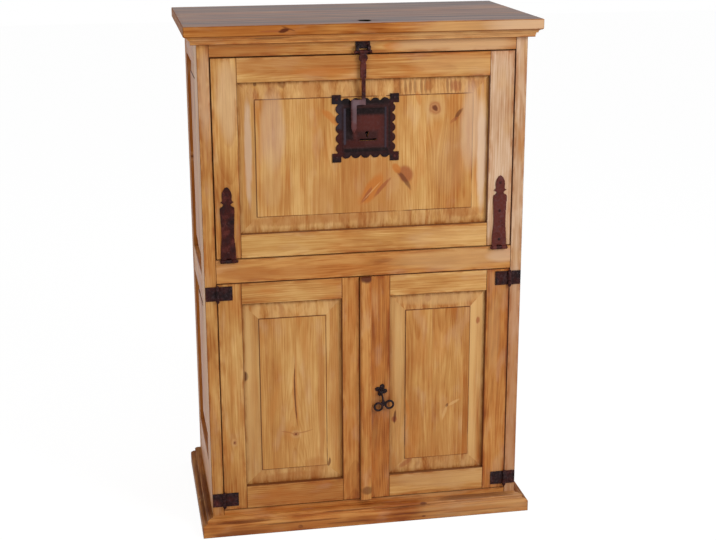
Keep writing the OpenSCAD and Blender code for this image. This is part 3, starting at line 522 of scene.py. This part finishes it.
def with_slopes(board, colour, field, side_highlights, broad):
    """Paints the slopes and the line round the field; side_highlights is the painted highlight of the two side
    slopes.
    """
    slope = board.tilt_along.rise(*FLAT_TO_SLOPE)
    bars = board.cloud(6, 240, 3, into=120).rise(0.4, 0.64) * board.cloud(60, 60, 2, into=200).rise(0.38, 0.62)
    blots = board.cloud(22, 70, 4, into=200).rise(0.46, 0.68)
    colour = colour.paint(PALE_AND_HIGHLIGHT, slope * board.cloud(26, 120, 3, into=200).rise(0.34, 0.62) * 0.6)
    side_highlight = (board.look * -1.0).rise(*FLAT_TO_SLOPE) * side_highlights[0] + board.look.rise(*FLAT_TO_SLOPE) * side_highlights[1]
    # the side slopes get a painted highlight, with a strength for each side
    colour = colour.paint(PALE_AND_HIGHLIGHT, side_highlight * broad.rise(0.3, 0.6))
    colour = colour.paint(STAINED, slope * bars * 0.5, "MULTIPLY")
    colour = colour.paint(STAINED, slope * blots * 0.55, "MULTIPLY")
    low, high = ([corner[i] for i in board.order] for corner in field)
    step = abs(board.rectangle(low[:2], high[:2]))
    # the line at the step up to the field: dirt and painted shade in the crease
    return colour.paint(DIRT_AND_SHADE, step.rise(1.9, 0.4) * board.cloud(60, 90).rise(0.25, 0.45) * 0.85)


print("a slope begins where the normal leans by", FLAT_TO_SLOPE)

# %% [markdown]
# Marks one by one
#
# Chance gives good boards, but not the very ones of this front, with their two leaf-shaped knots under the lock
# and the long check in the left door. Those marks are laid on with a brush: a leaf with a place, a length,
# a width, a lean and a bend, whose edge is made ragged by a cloud. A painted picture could hold them too, but
# strokes stay sharp at any size, and each is one line to change.

# %% The brush
# Besides knots and checks, the brush also lays painted sheen and painted highlights where the lamps catch a board.
def brush(board, colour, strokes, on_edge=False):
    """Paints leaf-shaped marks: place across and along, half length, half width, lean from the grain in degrees
    towards the far side, bend, tint and strength. On a board's edge, the depth takes the place of across."""
    for across, along, length, width, lean, bend, tint, strength in strokes:
        side, up = (board.deep if on_edge else board.across) - across, board.along - along
        ahead, beside = up / length, side / width
        if lean:
            sine, cosine = math.sin(math.radians(lean)), math.cos(math.radians(lean))
            ahead = (side * sine + up * cosine) / length
            beside = side * (cosine / width) - up * (sine / width)
        if bend:
            beside = beside + ahead * ahead * bend
        ragged = board.cloud(max(width, 3), max(width, 3) * 4) - 0.5
        share = (ahead * ahead + beside * beside + ragged).rise(1.25, 0.3) * strength
        colour = colour.paint(tint, share * board.tilt_across.rise(0.6, 0.9) if on_edge else share)
    return colour


def black_spot(board, across, along, half_across, half_along):
    """The share of a black spot in the face of a board, with a ragged edge."""
    side, up = (board.across - across) / half_across, (board.along - along) / half_along
    ragged = board.cloud(14, 20) - 0.5
    return (side * side + up * up + ragged * 1.4).rise(1.3, 0.7) * board.tilt_deep.rise(0.7, 0.9)


print("a stroke: across, along, half length, half width, lean, bend, tint, strength")

# %% [markdown]
# Dirt and painted shade in the joints
#
# Wax and dust collect where a cloth can't reach: in the joint between two boards, along the groove that holds
# a panel, and on the inner edges of frames that are opened by hand. So the distance from the joint gives a fine
# dark line and, beside it, a smear of stain that ran out of the joint. Both, and the dark inner edges, are also
# painted shade of the joints and gaps. A bevel with an ambient occlusion node finds corners by itself, but it
# can't be baked in the same way for every pose.

# %% Dirt and painted shade
TONGUE = 8.0  # mm of a panel that hide in the groove
JOINT_LINE = 1.8
GROOVE_LINE = 3.4
DARK_EDGES = (0.75, 0.75)  # the edges of the framed doors and of the fall: the most stain, and painted shade of the gaps round them
EDGE_DEPTHS = (20, 12)  # mm from the front, where the dark edges fade out and where they are full


def with_dirt_and_shade(board, colour, joint, line, sides):
    """The colour with its dirt and painted shade, and the share of both."""
    distance = abs(joint)
    for edge in board.edges[1:-1]:
        distance = distance.least(abs(board.across - edge))
    front = board.tilt_deep.rise(0.4, 0.9)
    ragged = board.cloud(14, 50, 3)
    # the smear and the line beside the joints: stain and dirt, and painted shade in place of ambient occlusion
    smear = distance.rise(15, 0.0) * ragged.rise(0.4, 0.66) * 0.75
    grime_and_shade = distance.rise(line, line * 0.15) * 0.85 * front
    if any(sides):
        edges = (board.look * -1.0).rise(0.6, 0.9) * sides[0] + board.look.rise(0.6, 0.9) * sides[1]
        # the edges that face the gaps: stain and painted shade of the gaps
        grime_and_shade = edges * (board.deep - board.low[2]).rise(*EDGE_DEPTHS) + grime_and_shade
    return colour.paint(STAINED, smear * front, "MULTIPLY").paint(DIRT_AND_SHADE, grime_and_shade), grime_and_shade


print("lines in the joints: %g mm, in the grooves: %g mm" % (JOINT_LINE, GROOVE_LINE))

# %% [markdown]
# # The whole finish
#
# One function now does to a board what was done to the real one, in the same order: it grew, it was stained,
# planed and cut, it was marked, and it got dirty; its joints and gaps also get painted shade. The figure also
# gives the bump, because early wood wears down between the hard late rings, and the roughness, because wax
# fills some streaks more than others.

# %% Pine
END_SHARES = (0.35, 0.4)  # of the late wood, and of the end grain as a whole
ROUGH_PINE = 0.42


def pine(node, lie, tone, shift=0.0, contrast=1.0, stain=0.3, seams=(), knots=(), strokes=(), on_edge=(),
         raised=0, slopes=(0.5, 0.5), sides=(0.0, 0.0), gloss=0.2, grey_reflection=0.0, black_mark=None):
    """Dresses a node in pine. A raised panel says which way it faces along its deep axis, -1 or 1, and how strong
    the painted highlight on its two long slopes is; sides tells how dark the two long edges of a board are, with
    stain and painted shade. A black mark is a black spot: place across and along, and half its size each way."""
    board = Board(node, lie, seams)
    grain, distances = flow_round(board, knots)
    late = late_wood(board, grain)
    figure = broad, narrow, fibre = streaks(board, grain)
    colour = with_knots(stained(board, tone, figure, late, shift, contrast, stain), distances)
    ends = board.tilt_along.rise(0.45, 0.7)
    colour = colour.paint(END_GRAIN, ends * (late * END_SHARES[0] + END_SHARES[1]))
    if grey_reflection:
        colour = with_painted_reflection(board, colour, figure, grey_reflection)
    joint, line = board.rectangle(board.low[:2], board.high[:2]), JOINT_LINE
    if raised:
        colour = with_slopes(board, colour, field_box(node, board.order[2], raised), slopes, broad)
        joint, line = joint + TONGUE, GROOVE_LINE
    colour = brush(board, brush(board, colour, strokes), on_edge, on_edge=True)
    colour, grime_and_shade = with_dirt_and_shade(board, colour, joint, line, sides)

    height = fibre * 0.5 + narrow * 0.5 - late * 0.35
    bump = board.sheet.add("ShaderNodeBump", sockets={"Height": height, "Strength": 0.25, "Distance": 0.0006})
    rough = (narrow - 0.5) * 0.35 + grime_and_shade * 0.2 + ends * 0.12 + ROUGH_PINE
    shader = board.sheet.add("ShaderNodeBsdfPrincipled", sockets={
        "Base Color": colour, "Roughness": rough.clip(), "Normal": bump, "Specular IOR Level": gloss})
    # a matt black spot mixed over the pine
    if black_mark:
        black_mark_shader = board.sheet.add("ShaderNodeBsdfPrincipled", sockets={
            "Base Color": BLACK_MARK_TINT, "Roughness": 0.9, "Specular IOR Level": 0.0})
        shader = board.sheet.add("ShaderNodeMixShader", sockets={0: black_spot(board, *black_mark), 1: shader, 2: black_mark_shader})
    finish_with(board.sheet, shader)
    dress(node, board.material)


def finished(*beginnings):
    """How many nodes whose names begin so have their pine finish."""
    return sum(material.name.startswith(tuple("pine_" + word for word in beginnings))
               for material in bpy.data.materials)


print("roughness of waxed pine: about", ROUGH_PINE)

# %% [markdown]
# # The fall
#
# The fall is the show board: a frame of four pieces round a field glued up from five widths, pale and lively,
# with one round knot beside the lock and two leaf-shaped ones under it. Its knots and marks are placed one by
# one, across and along in mm of the cabinet, because chance would never put them under the lock.

# %% Dress the fall
pine("fall_panel", "zxy", "honey", shift=0.05, contrast=0.85, stain=0.35, raised=-1, slopes=(0.6, 0.7),
     seams=(-212, -92, 58, 172),
     knots=((197, 1230, 15, 1.2, 0.9),), strokes=(
         (20, 1010, 110, 110, 0, 0, TAWNY, 0.4), (-250, 1010, 60, 60, 0, 0, TAWNY, 0.2),
         (-258, 1180, 120, 36, 0, 0, PINK_AND_SHEEN, 0.35), (-262, 1050, 90, 30, 0, 0, HALO_AND_SHEEN, 0.4),
         # both strokes here, pale on the right, are painted sheen of the key lamp
         (300, 1170, 130, 34, 0, 0, PINK_AND_SHEEN, 0.45), (240, 1090, 110, 60, 0, 0, HALO_AND_SHEEN, 0.3),
         (-170, 928, 17, 170, 0, 0, TAWNY, 0.5), (290, 930, 16, 60, 0, 0, TAWNY, 0.5),
         (-114, 985, 80, 42, 0, 0, TAWNY, 0.4),
         (150, 1260, 24, 8, -18, 0.6, ORANGE, 0.45), (262, 1211, 22, 6, 34, -0.5, HEART, 0.7),
         (252, 1196, 16, 5, 60, -0.5, KNOT, 0.6),
         *((x, 1290, 22, 4.5, 0, 0, SLOPE_BAR, 0.6) for x in (98, 113, 127, 140, 158, 170, 183, 232, 243, 255, 268)),
         (178, 1292, 14, 13, 0, 0, TAWNY, 0.7), (256, 1289, 17, 17, 0, 0, KNOT, 0.55),
         (-302, 1310, 7, 5, 0, 0, HEART, 0.7), (-229, 1310, 14, 12, 0, 0, SLOPE_BAR, 0.6),
         (18, 1006, 54, 22, 37, 0.3, ORANGE, 0.85), (3, 990, 28, 6, 34, 0.3, KNOT, 0.9),
         (46, 1012, 38, 6, 42, -0.3, KNOT, 0.85), (18, 1003, 38, 2, 44, 0, PALE_AND_HIGHLIGHT, 0.4),
         (114, 1046, 26, 22, -30, 0, KNOT, 0.85), (110, 1033, 38, 7, -36, 0.5, HEART, 0.65),
         (88, 1064, 18, 11, -36, 0, ORANGE, 0.8), (-96, 1214, 36, 10, -46, 0.4, ORANGE, 0.7),
         # narrow pink bands on the two side slopes of the fall: painted highlight
         (-325, 1130, 160, 11, 0, 0, PINK_AND_SHEEN, 0.65), (334, 1106, 180, 15, 0, 0, PINK_AND_SHEEN, 0.8)))
pine("fall_left_stile", "zxy", "honey", shift=0.04, sides=DARK_EDGES, strokes=(
    (-375, 1270, 120, 34, 0, 0, PINK_AND_SHEEN, 0.3), (-400, 1060, 60, 16, 0, 0, TAWNY, 0.3)))
# the right stile takes the pale pink mix as painted sheen of the key lamp
pine("fall_right_stile", "zxy", "rosy", shift=0.06, sides=DARK_EDGES)
pine("fall_top_rail", "xzy", "honey", shift=-0.04, stain=0.4, sides=DARK_EDGES, strokes=(
    # pale stroke on the right: painted sheen of the key lamp
    (1350, 250, 130, 30, 0, 0, HALO_AND_SHEEN, 0.4),
    (1362, -190, 190, 36, 0, 0, TAWNY, 0.6), (1340, -120, 90, 12, 0, 0, ORANGE, 0.5)))
pine("fall_bottom_rail", "xzy", "honey", shift=0.05, sides=DARK_EDGES, strokes=(
    # the first stroke, pale on the right, is painted sheen of the key lamp
    (862, 240, 150, 30, 0, 0, PALE_AND_HIGHLIGHT, 0.35), (862, -230, 160, 30, 0, 0, GOLD, 0.4)))
print("boards of the fall:", finished("fall_"))

# %% [markdown]
# # The doors
#
# The two doors were made from different boards. The left one has a quiet panel with a long check that ends in
# a small knot, the right one is livelier, and the stiles that meet in the middle are the reddest pieces of
# the front. Mirroring one door for the other would halve the work and show at first sight.

# %% Dress the doors
pine("left_door_outer_stile", "zxy", "honey", shift=0.03, sides=DARK_EDGES, knots=((-387, 276, 5, 1.2, 0.9),))
pine("left_door_inner_stile", "zxy", "amber", shift=0.04, sides=DARK_EDGES)
pine("left_door_rails", "xzy", "honey", shift=-0.08, stain=0.5, sides=DARK_EDGES, strokes=(
    (90, -220, 200, 30, 0, 0, TAWNY, 0.5),))
pine("left_door_panel", "zxy", "honey", shift=-0.05, contrast=0.75, raised=-1, slopes=(0.5, 0.0),
     knots=((-208, 288, 8, 0.8, 0.9),),
     strokes=((-209, 412, 104, 8, -1.5, -0.8, ORANGE, 0.5), (-209, 412, 100, 2.6, -1.5, -1.6, HEART, 0.85),
              (-229, 295, 24, 2.4, -72, 1.2, KNOT, 0.5), (-182, 293, 28, 2.4, 80, 1.2, KNOT, 0.5),
              # the second stroke here, a narrow pale band on the left slope, is painted highlight
              (-347, 474, 16, 6, 0, 0.6, HEART, 0.9), (-340, 560, 140, 10, 0, 0, PALE_AND_HIGHLIGHT, 0.5),
              (-92, 410, 260, 20, 0, 0, TAWNY, 0.35), (-110, 600, 90, 6, 0, 0, PALE_AND_HIGHLIGHT, 0.5),
              (-109, 191, 14, 5, 10, 0.5, HEART, 0.7), (-215, 149, 20, 120, 0, 0, TAWNY, 0.5),
              (-132, 400, 250, 11, 0, 0, TAWNY, 0.5), (-150, 185, 30, 34, 0, 0, TAWNY, 0.4)))
pine("right_door_inner_stile", "zxy", "amber", shift=-0.08, stain=0.5, sides=DARK_EDGES)
pine("right_door_outer_stile", "zxy", "amber", shift=-0.12, sides=DARK_EDGES, strokes=(
    # pale stroke on the right: painted sheen of the key lamp
    (380, 560, 130, 20, 0, 0, HALO_AND_SHEEN, 0.3),))
pine("right_door_rails", "xzy", "honey", shift=-0.04, sides=DARK_EDGES, strokes=(
    # pale stroke on the right: painted sheen of the key lamp
    (112, 240, 180, 30, 0, 0, HALO_AND_SHEEN, 0.5),))
pine("right_door_panel", "zxy", "honey", shift=-0.09, contrast=0.85, raised=-1, slopes=(0.45, 0.75), seams=(196, 290),
     strokes=(
    (243, 344, 7, 4, 20, 0, HEART, 0.7), (236, 322, 24, 5, 16, 0, PALE_AND_HIGHLIGHT, 0.45),
    (264, 352, 20, 5, 62, 0, PALE_AND_HIGHLIGHT, 0.5), (126, 322, 60, 6, 0, 2.0, ORANGE, 0.5),
    # the first stroke here, a narrow pale band on the left slope, is painted highlight
    (98, 500, 200, 13, 0, 0, PALE_AND_HIGHLIGHT, 0.4), (334, 601, 12, 7, 0, 0, KNOT, 0.8),
    (183, 678, 12, 11, 0, 0, KNOT, 0.8), (85, 309, 11, 9, 0, 0, KNOT, 0.95), (87, 316, 22, 4, 4, 0, HEART, 0.85),
    (240, 200, 80, 70, 0, 0, TAWNY, 0.3), (225, 674, 20, 125, 0, 0, HALO_AND_SHEEN, 0.55),
    (120, 168, 26, 9, 52, 0, KNOT, 0.6)))
pine("astragal", "zxy", "amber", shift=0.14, strokes=(
    (0, 752, 15, 20, 0, 0, HEART, 0.95), (0, 96, 14, 20, 0, 0, DIRT_AND_SHADE, 0.6)))
print("boards of the doors:", finished("left_door_", "right_door_", "astragal"))

# %% [markdown]
# # The boards of the case
#
# The case is plainer. Its rails, mouldings and top board carry the marks that show on the front. The posts,
# the sides, the back and everything inside get the same treatment with a darker tone, and knots where chance
# puts them, with a seed for each node, so that every run gives the same boards.

# %% Dress the front of the case
pine("top_rail", "xzy", "honey", shift=-0.06, stain=0.4, sides=(0.8, 0.0), strokes=(
    (1402, -330, 130, 26, 0, 0, TAWNY, 0.6), (1404, 76, 30, 12, 0, 0, ORANGE, 0.7),
    # pale strokes on the right: painted sheen of the key lamp
    (1404, 260, 180, 26, 0, 0, PINK_AND_SHEEN, 0.4), (1404, 250, 190, 26, 0, 0, HALO_AND_SHEEN, 0.5)))
pine("middle_rail", "xzy", "amber", shift=0.1, stain=0.4, sides=(0.8, 0.0), strokes=(
    (783, -340, 90, 22, 0, 0, TAWNY, 0.5), (782, -220, 90, 16, 0, 0, TAWNY, 0.4),
    # pale strokes on the right: painted sheen of the key lamp
    (798, 270, 210, 34, 0, 0, HALO_AND_SHEEN, 0.55), (797, 410, 60, 24, 0, 0, PINK_AND_SHEEN, 0.4)))
# the pale stroke on the right is painted sheen of the key lamp
pine("bottom_rail", "xzy", "amber", strokes=((70, 190, 160, 20, 0, 0, HALO_AND_SHEEN, 0.5),))
# the top board's face gets a painted grey reflection and painted shade
pine("top_board", "xyz", "amber", seams=(-130, 40, 170), gloss=0.07, grey_reflection=0.82, black_mark=(-212, 4, 22, 19), strokes=(
    # a black spot and a dark ring round it, where the top board has a black mark
    (-212, 6, 46, 27, 0, 0, HEART, 0.6),), on_edge=(
        # pale strokes on the right of the front edge: painted sheen of the key lamp
        (1457, 320, 220, 30, 0, 0, HALO_AND_SHEEN, 0.6), (1457, 440, 120, 30, 0, 0, PINK_AND_SHEEN, 0.45),
        (1457, -330, 170, 30, 0, 0, TAWNY, 0.4),
        (1455, -250, 50, 3, 0, 0, KNOT, 0.8), (1456, -226, 15, 6, 12, 0, HEART, 0.95),
        (1461, -214, 22, 2.5, -20, 0, HEART, 0.6), (1462, 60, 120, 3, 0, 0, KNOT, 0.35)))
pine("cornice_front", "xzy", "amber", shift=0.08, contrast=1.2, strokes=(
    # the first stroke, pale on the right, is painted sheen of the key lamp
    (1432, 300, 220, 30, 0, 0, HALO_AND_SHEEN, 0.65), (1432, -260, 200, 30, 0, 0, TAWNY, 0.15),
    # thin dark lines in the moulding's creases: dirt and painted shade
    (1436, -262, 60, 3, 0, 0, DIRT_AND_SHADE, 0.6), (1428, -120, 90, 2, 0, 0, DIRT_AND_SHADE, 0.4)))
pine("plinth_front", "xzy", "amber", shift=0.02, contrast=1.4, stain=0.4, strokes=(
    # the first stroke, pale on the right, is painted sheen of the key lamp
    (30, 340, 200, 44, 0, 0, HALO_AND_SHEEN, 0.45), (12, -250, 230, 20, 0, 0, TAWNY, 0.55),
    # thin dark lines in the moulding's creases, here and in the lines below: dirt and painted shade
    (28, -210, 140, 3, 0, 0, DIRT_AND_SHADE, 0.6), (45, -60, 90, 2.5, 0, 0, DIRT_AND_SHADE, 0.6), (14, -60, 80, 3, 0, 0, DIRT_AND_SHADE, 0.5),
    (40, 110, 110, 2.5, 0, 0, DIRT_AND_SHADE, 0.6), (24, 150, 110, 2.5, 0, 0, DIRT_AND_SHADE, 0.55), (49, 330, 130, 2.5, 0, 0, DIRT_AND_SHADE, 0.6),
    (16, 330, 120, 2.5, 0, 0, DIRT_AND_SHADE, 0.45), (38, -370, 90, 2.5, 0, 0, DIRT_AND_SHADE, 0.6),
    (13, -205, 8, 6, 0, 0, HEART, 0.9), (13, -222, 26, 7, 0, 0, TAWNY, 0.6), (45, 168, 12, 4, 0, 0, HEART, 0.8),
    (11, 166, 7, 3, 0, 0, HEART, 0.8), (8, -380, 90, 9, 0, 0, DIRT_AND_SHADE, 0.35), (22, 300, 140, 8, 0, 0, TAWNY, 0.5)))
pine("left_front_post", "zxy", "honey", sides=(0.0, 0.8), strokes=((-437, 1290, 130, 26, 0, 0, PINK_AND_SHEEN, 0.35),))
# the right post takes the pale pink mix as painted sheen of the key lamp
pine("right_front_post", "zxy", "rosy", shift=-0.06, sides=(0.8, 0.0), strokes=(
    (440, 400, 400, 60, 0, 0, TAWNY, 0.6),))
print("finishes so far:", finished(""))

# %% Dress the sides, the back and the inside
def stray_knots(node, lie, number):
    """Small knots at places that chance picks, the same in each run."""
    chance = random.Random(node + " knots")
    order = ["xyz".index(letter) for letter in lie]
    low, high = box_mm(node)
    return [(chance.uniform(low[order[1]], high[order[1]]), chance.uniform(low[order[0]], high[order[0]]),
             chance.uniform(4, 10), chance.uniform(1.0, 1.8), chance.uniform(0.6, 1.0)) for _ in range(number)]


UNDER_RAIL = (8, 300, 0, 0, DIRT_AND_SHADE, 0.75)  # painted shadow under a side rail, with some dirt
# dark lines along the creases of the side plinths: dirt and painted shade
PLINTH_LINES = [(up, along, 170, 2.2, 0, 0, DIRT_AND_SHADE, 0.6) for up, along in (
    (50, -90), (44, 110), (38, -60), (30, 90), (24, -110), (15, 60), (8, -90))]
for name, shift, rail_foot in (("left_upper_panel", 0.0, 1333), ("left_lower_panel", -0.05, 662)):
    pine(name, "zyx", "amber", shift=shift, raised=-1, knots=stray_knots(name, "zyx", 3),
         # a dark band of painted shadow, with some dirt, under the rail
         strokes=((0, rail_foot) + UNDER_RAIL,))
for name, lie, tone, shift, number in (
        ("left_back_post", "zyx", "amber", 0.0, 3), ("right_back_post", "zyx", "amber", 0.0, 3),
        ("left_side_rails", "yzx", "amber", -0.04, 3), ("right_side_rails", "yzx", "amber", 0.0, 3),
        ("right_upper_panel", "zyx", "amber", 0.05, 3), ("right_lower_panel", "zyx", "amber", 0.0, 3),
        ("plinth_left", "yzx", "deep", -0.02, 2), ("plinth_right", "yzx", "deep", 0.04, 2),
        ("cornice_left", "yzx", "deep", 0.0, 0), ("cornice_right", "yzx", "deep", 0.05, 0),
        ("bar_deck", "xyz", "honey", 0.1, 4), ("bar_shelf", "xyz", "honey", 0.1, 3),
        ("lower_shelf", "xyz", "honey", 0.1, 4), ("cabinet_floor", "xyz", "honey", 0.05, 4),
        ("cleats", "yzx", "honey", 0.05, 0), ("back_boards", "zxy", "honey", 0.05, 9)):
    plinth = name.startswith("plinth")
    pine(name, lie, tone, shift=shift, knots=stray_knots(name, lie, number),
         raised=1 if name.endswith("_panel") else 0, contrast=1.5 if plinth else 1.0,
         gloss=0.02 if plinth or "back_post" in name else 0.2, strokes=PLINTH_LINES if plinth else ())
print("all pine finishes:", finished(""))

# %% [markdown]
# # Forged iron
#
# Every strap, plate and ring was beaten out of sheet, so the surface is full of shallow dents, and it was
# browned and waxed: red-brown where the rust was left under the wax, near black where the fire scale stayed.
# Low domes from a smooth cell pattern give the hammer marks, a cloud and some grit decide how brown a place is,
# and rubbed spots shine a little. Soft-bordered tints lie on the face: some are the smith's colours, the others
# are painted shade and painted bluish sheen. One even colour would be simpler, but it makes iron look like plastic.

# %% The iron finish
RUST = srgb(62, 22, 17)
RUST_PALE = srgb(94, 43, 36)
SCALE_BLACK = srgb(28, 16, 18)
WORN = srgb(112, 92, 96)
# black of painted shadow
SHADE_BLACK = srgb(12, 8, 9)
# blue of painted sheen
BLUE_SHEEN = srgb(66, 62, 74)
MAUVE = srgb(128, 106, 112)
PATCHES = 0.035  # cells of the cloud for each mm
GRAINS = 0.45
IRON_GLOSS = 0.11


def forged(name, rust=0.5, worn=0.2, dent=7.0, tints=()):
    """Iron finish: share of rust, share of worn spots, and the size of a hammer mark in mm. Tints are soft
    rectangles on the face: place across and up, half sizes, colour and strength."""
    material, sheet = new_finish("iron_" + name)
    place = sheet.add("ShaderNodeTexCoord", out="Object").vector("SCALE", Scale=MM)
    marks = sheet.add("ShaderNodeTexVoronoi", {"feature": "SMOOTH_F1"},
                      {"Vector": place, "Scale": 1 / dent, "Smoothness": 0.6})
    patch = sheet.add("ShaderNodeTexNoise", sockets={"Vector": place, "Scale": PATCHES, "Detail": 3.0})
    grit = sheet.add("ShaderNodeTexNoise", sockets={"Vector": place, "Scale": GRAINS, "Detail": 3.0})
    browned = (patch + (grit - 0.5) * 0.35 + (rust - 0.5)).rise(0.2, 0.8)
    colour = browned.colours((0.0, SCALE_BLACK), (0.7, RUST), (1.0, RUST_PALE))
    x, _, z = place.split()
    for across, up, half_w, half_h, tint, strength in tints:
        out = (abs(x - across) - half_w).most(abs(z - up) - half_h) + (grit - 0.5) * 6
        soft = min(half_w, half_h) * 0.5
        colour = colour.paint(tint, out.rise(soft, -soft) * strength)
    rubbed = (marks * 0.6 + grit * 0.7).rise(0.55, 1.0) * worn
    colour = colour.paint(WORN, rubbed)
    height = marks * 0.7 + grit * 0.3
    bump = sheet.add("ShaderNodeBump", sockets={"Height": height, "Strength": 0.6, "Distance": 0.0008})
    rough = (grit - 0.5) * 0.5 + browned * 0.12 + 0.36
    finish_with(sheet, sheet.add("ShaderNodeBsdfPrincipled", sockets={
        "Base Color": colour, "Roughness": rough.clip(), "Metallic": rubbed, "Normal": bump,
        "Specular IOR Level": IRON_GLOSS}))
    return material


print("colours of the iron: rust, pale rust, scale black, worn, soot, steel blue and mauve")

# %% [markdown]
# # Hammering the sheets
#
# The solids have the outline, the holes and the steps of each iron piece, but their edges are as sharp as
# a drawing. A smith leaves soft arrises and a face that is never quite flat. So each piece starts as a copy of
# its solid, turns into an even skin of small squares, is rubbed smooth and then dented inward by a little
# under half a millimetre. Dents go inward only, so nothing grows into the piece behind or beside it. A bevel
# would round the edges too, but it fails where the short facets of the scallops meet.

# %% The forge
BODY_OF = {node: body for body, nodes in frame["record"]["behaviour"]["bodies"].items() for node in nodes}
RUBS = 3
BLOW_MM = 9.0  # width of a blow
DEPTH_MM = 0.35
KEPT_FACES = 0.45


def baked_mesh(piece):
    """The piece's mesh with its modifiers in it."""
    depsgraph = bpy.context.evaluated_depsgraph_get()
    return bpy.data.meshes.new_from_object(piece.evaluated_get(depsgraph))


def forge(node, finish, square):
    """Replaces an iron node with a hammered copy, whose skin has squares of a size in mm."""
    piece = bpy.data.objects.new("forged_" + node, frame["nodes"][node].data.copy())
    bpy.context.scene.collection.objects.link(piece)
    skin = piece.modifiers.new("skin", "REMESH")
    skin.mode, skin.voxel_size = "VOXEL", square / MM
    soft = piece.modifiers.new("rub", "SMOOTH")
    soft.factor, soft.iterations = 0.5, RUBS
    mesh = baked_mesh(piece)
    normals = [point.normal.copy() for point in mesh.vertices]
    for point, normal in zip(mesh.vertices, normals):
        place = point.co * (MM / BLOW_MM)
        blow = 0.5 + 0.5 * noise.noise(place) + 0.25 * noise.noise(place * 2.7)
        point.co -= normal * (min(max(blow, 0.0), 1.0) * DEPTH_MM / MM)
    piece.modifiers.clear()
    piece.data = mesh
    piece.modifiers.new("thin", "DECIMATE").ratio = KEPT_FACES
    piece.data = baked_mesh(piece)
    piece.modifiers.clear()
    piece.data.shade_smooth()
    piece.data.materials.clear()
    piece.data.materials.append(finish)
    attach(piece, BODY_OF[node])
    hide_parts(node)
    return len(piece.data.polygons)


print("dents up to %g mm deep" % DEPTH_MM)

# %% [markdown]
# # The ironwork
#
# The lock plate lies under the hasp, so it gets painted shadow at the top and behind the hasp's arm, and a painted
# bluish sheen along its raised frame. The right strap is redder than the left one. Nails, pins and what is hidden
# inside are too small or too plain to need a hammered skin, and keep their solids.

# %% Forge the visible iron
MID = sum(corner[2] for corner in box_mm("lock_plate")) / 2
# the black tints at the top, beside the hasp's arm and along the recess are painted shadow; the narrow blue bands on
# the raised frame and the blue of the top-left border are painted sheen
PLATE_TINTS = (
    (0, MID, 96, 96, SCALE_BLACK, 0.6), (-78, MID - 42, 16, 36, RUST, 0.9), (-78, MID + 40, 12, 40, BLUE_SHEEN, 0.35),
    (4, MID, 52, 52, RUST_PALE, 0.75), (4, MID - 22, 30, 14, SCALE_BLACK, 0.6), (-30, MID - 40, 26, 14, RUST, 0.7),
    (0, MID + 47, 56, 10, SHADE_BLACK, 0.9), (-46, MID + 14, 12, 46, SHADE_BLACK, 0.8), (55, MID, 2.5, 58, BLUE_SHEEN, 0.6),
    (-59, MID + 6, 3, 50, BLUE_SHEEN, 0.7), (80, MID, 12, 76, RUST, 0.6), (0, MID - 60, 62, 5, SHADE_BLACK, 0.8),
    (-20, MID + 76, 70, 9, SHADE_BLACK, 0.6), (66, MID, 3, 60, SHADE_BLACK, 0.6))
HASP_TINTS = (
    (-18, MID + 70, 22, 12, MAUVE, 0.5), (-29, MID + 38, 10, 40, MAUVE, 0.5), (-29, MID - 6, 10, 22, RUST_PALE, 0.6))
IRONWORK = (  # finish, size of the skin's squares in mm, and nodes
    (forged("left_strap", 0.55, 0.1), 1.2, ("left_strap_hinge",)),
    (forged("right_strap", 0.82, 0.25), 1.2, ("right_strap_hinge",)),
    (forged("plate", 0.35, 0.1, tints=PLATE_TINTS), 1.3, ("lock_plate",)),
    (forged("hasp", 0.62, 0.25, 5.0, tints=HASP_TINTS), 1.1, ("hasp",)),
    (forged("bracket", 0.3, 0.5, 5.0), 1.1, ("hasp_bracket",)),
    (forged("butts", 0.42, 0.25), 1.2, ("case_hinge_leaves", "left_door_leaves", "right_door_leaves")),
    (forged("pull", 0.25, 0.25, 4.0), 0.7, ("pull_rosette", "drop_pull")),
)
for finish, square, nodes in IRONWORK:
    print({node: forge(node, finish, square) for node in nodes})

# %% Dress the small and hidden iron
PLAIN_IRON = (
    (forged("nails", 0.5, 0.25, 3.0), ("hinge_pins", "fall_hinge_leaves", "case_nails", "fall_nails",
                                      "left_door_fixings", "right_door_fixings")),
    (forged("bar", 0.1, 0.7, 12.0), ("fall_stays", "stay_guides", "lock_case", "door_catches")),
)
for finish, nodes in PLAIN_IRON:
    for node in nodes:
        dress(node, finish)
    print(finish.name, "on", len(nodes), "nodes")
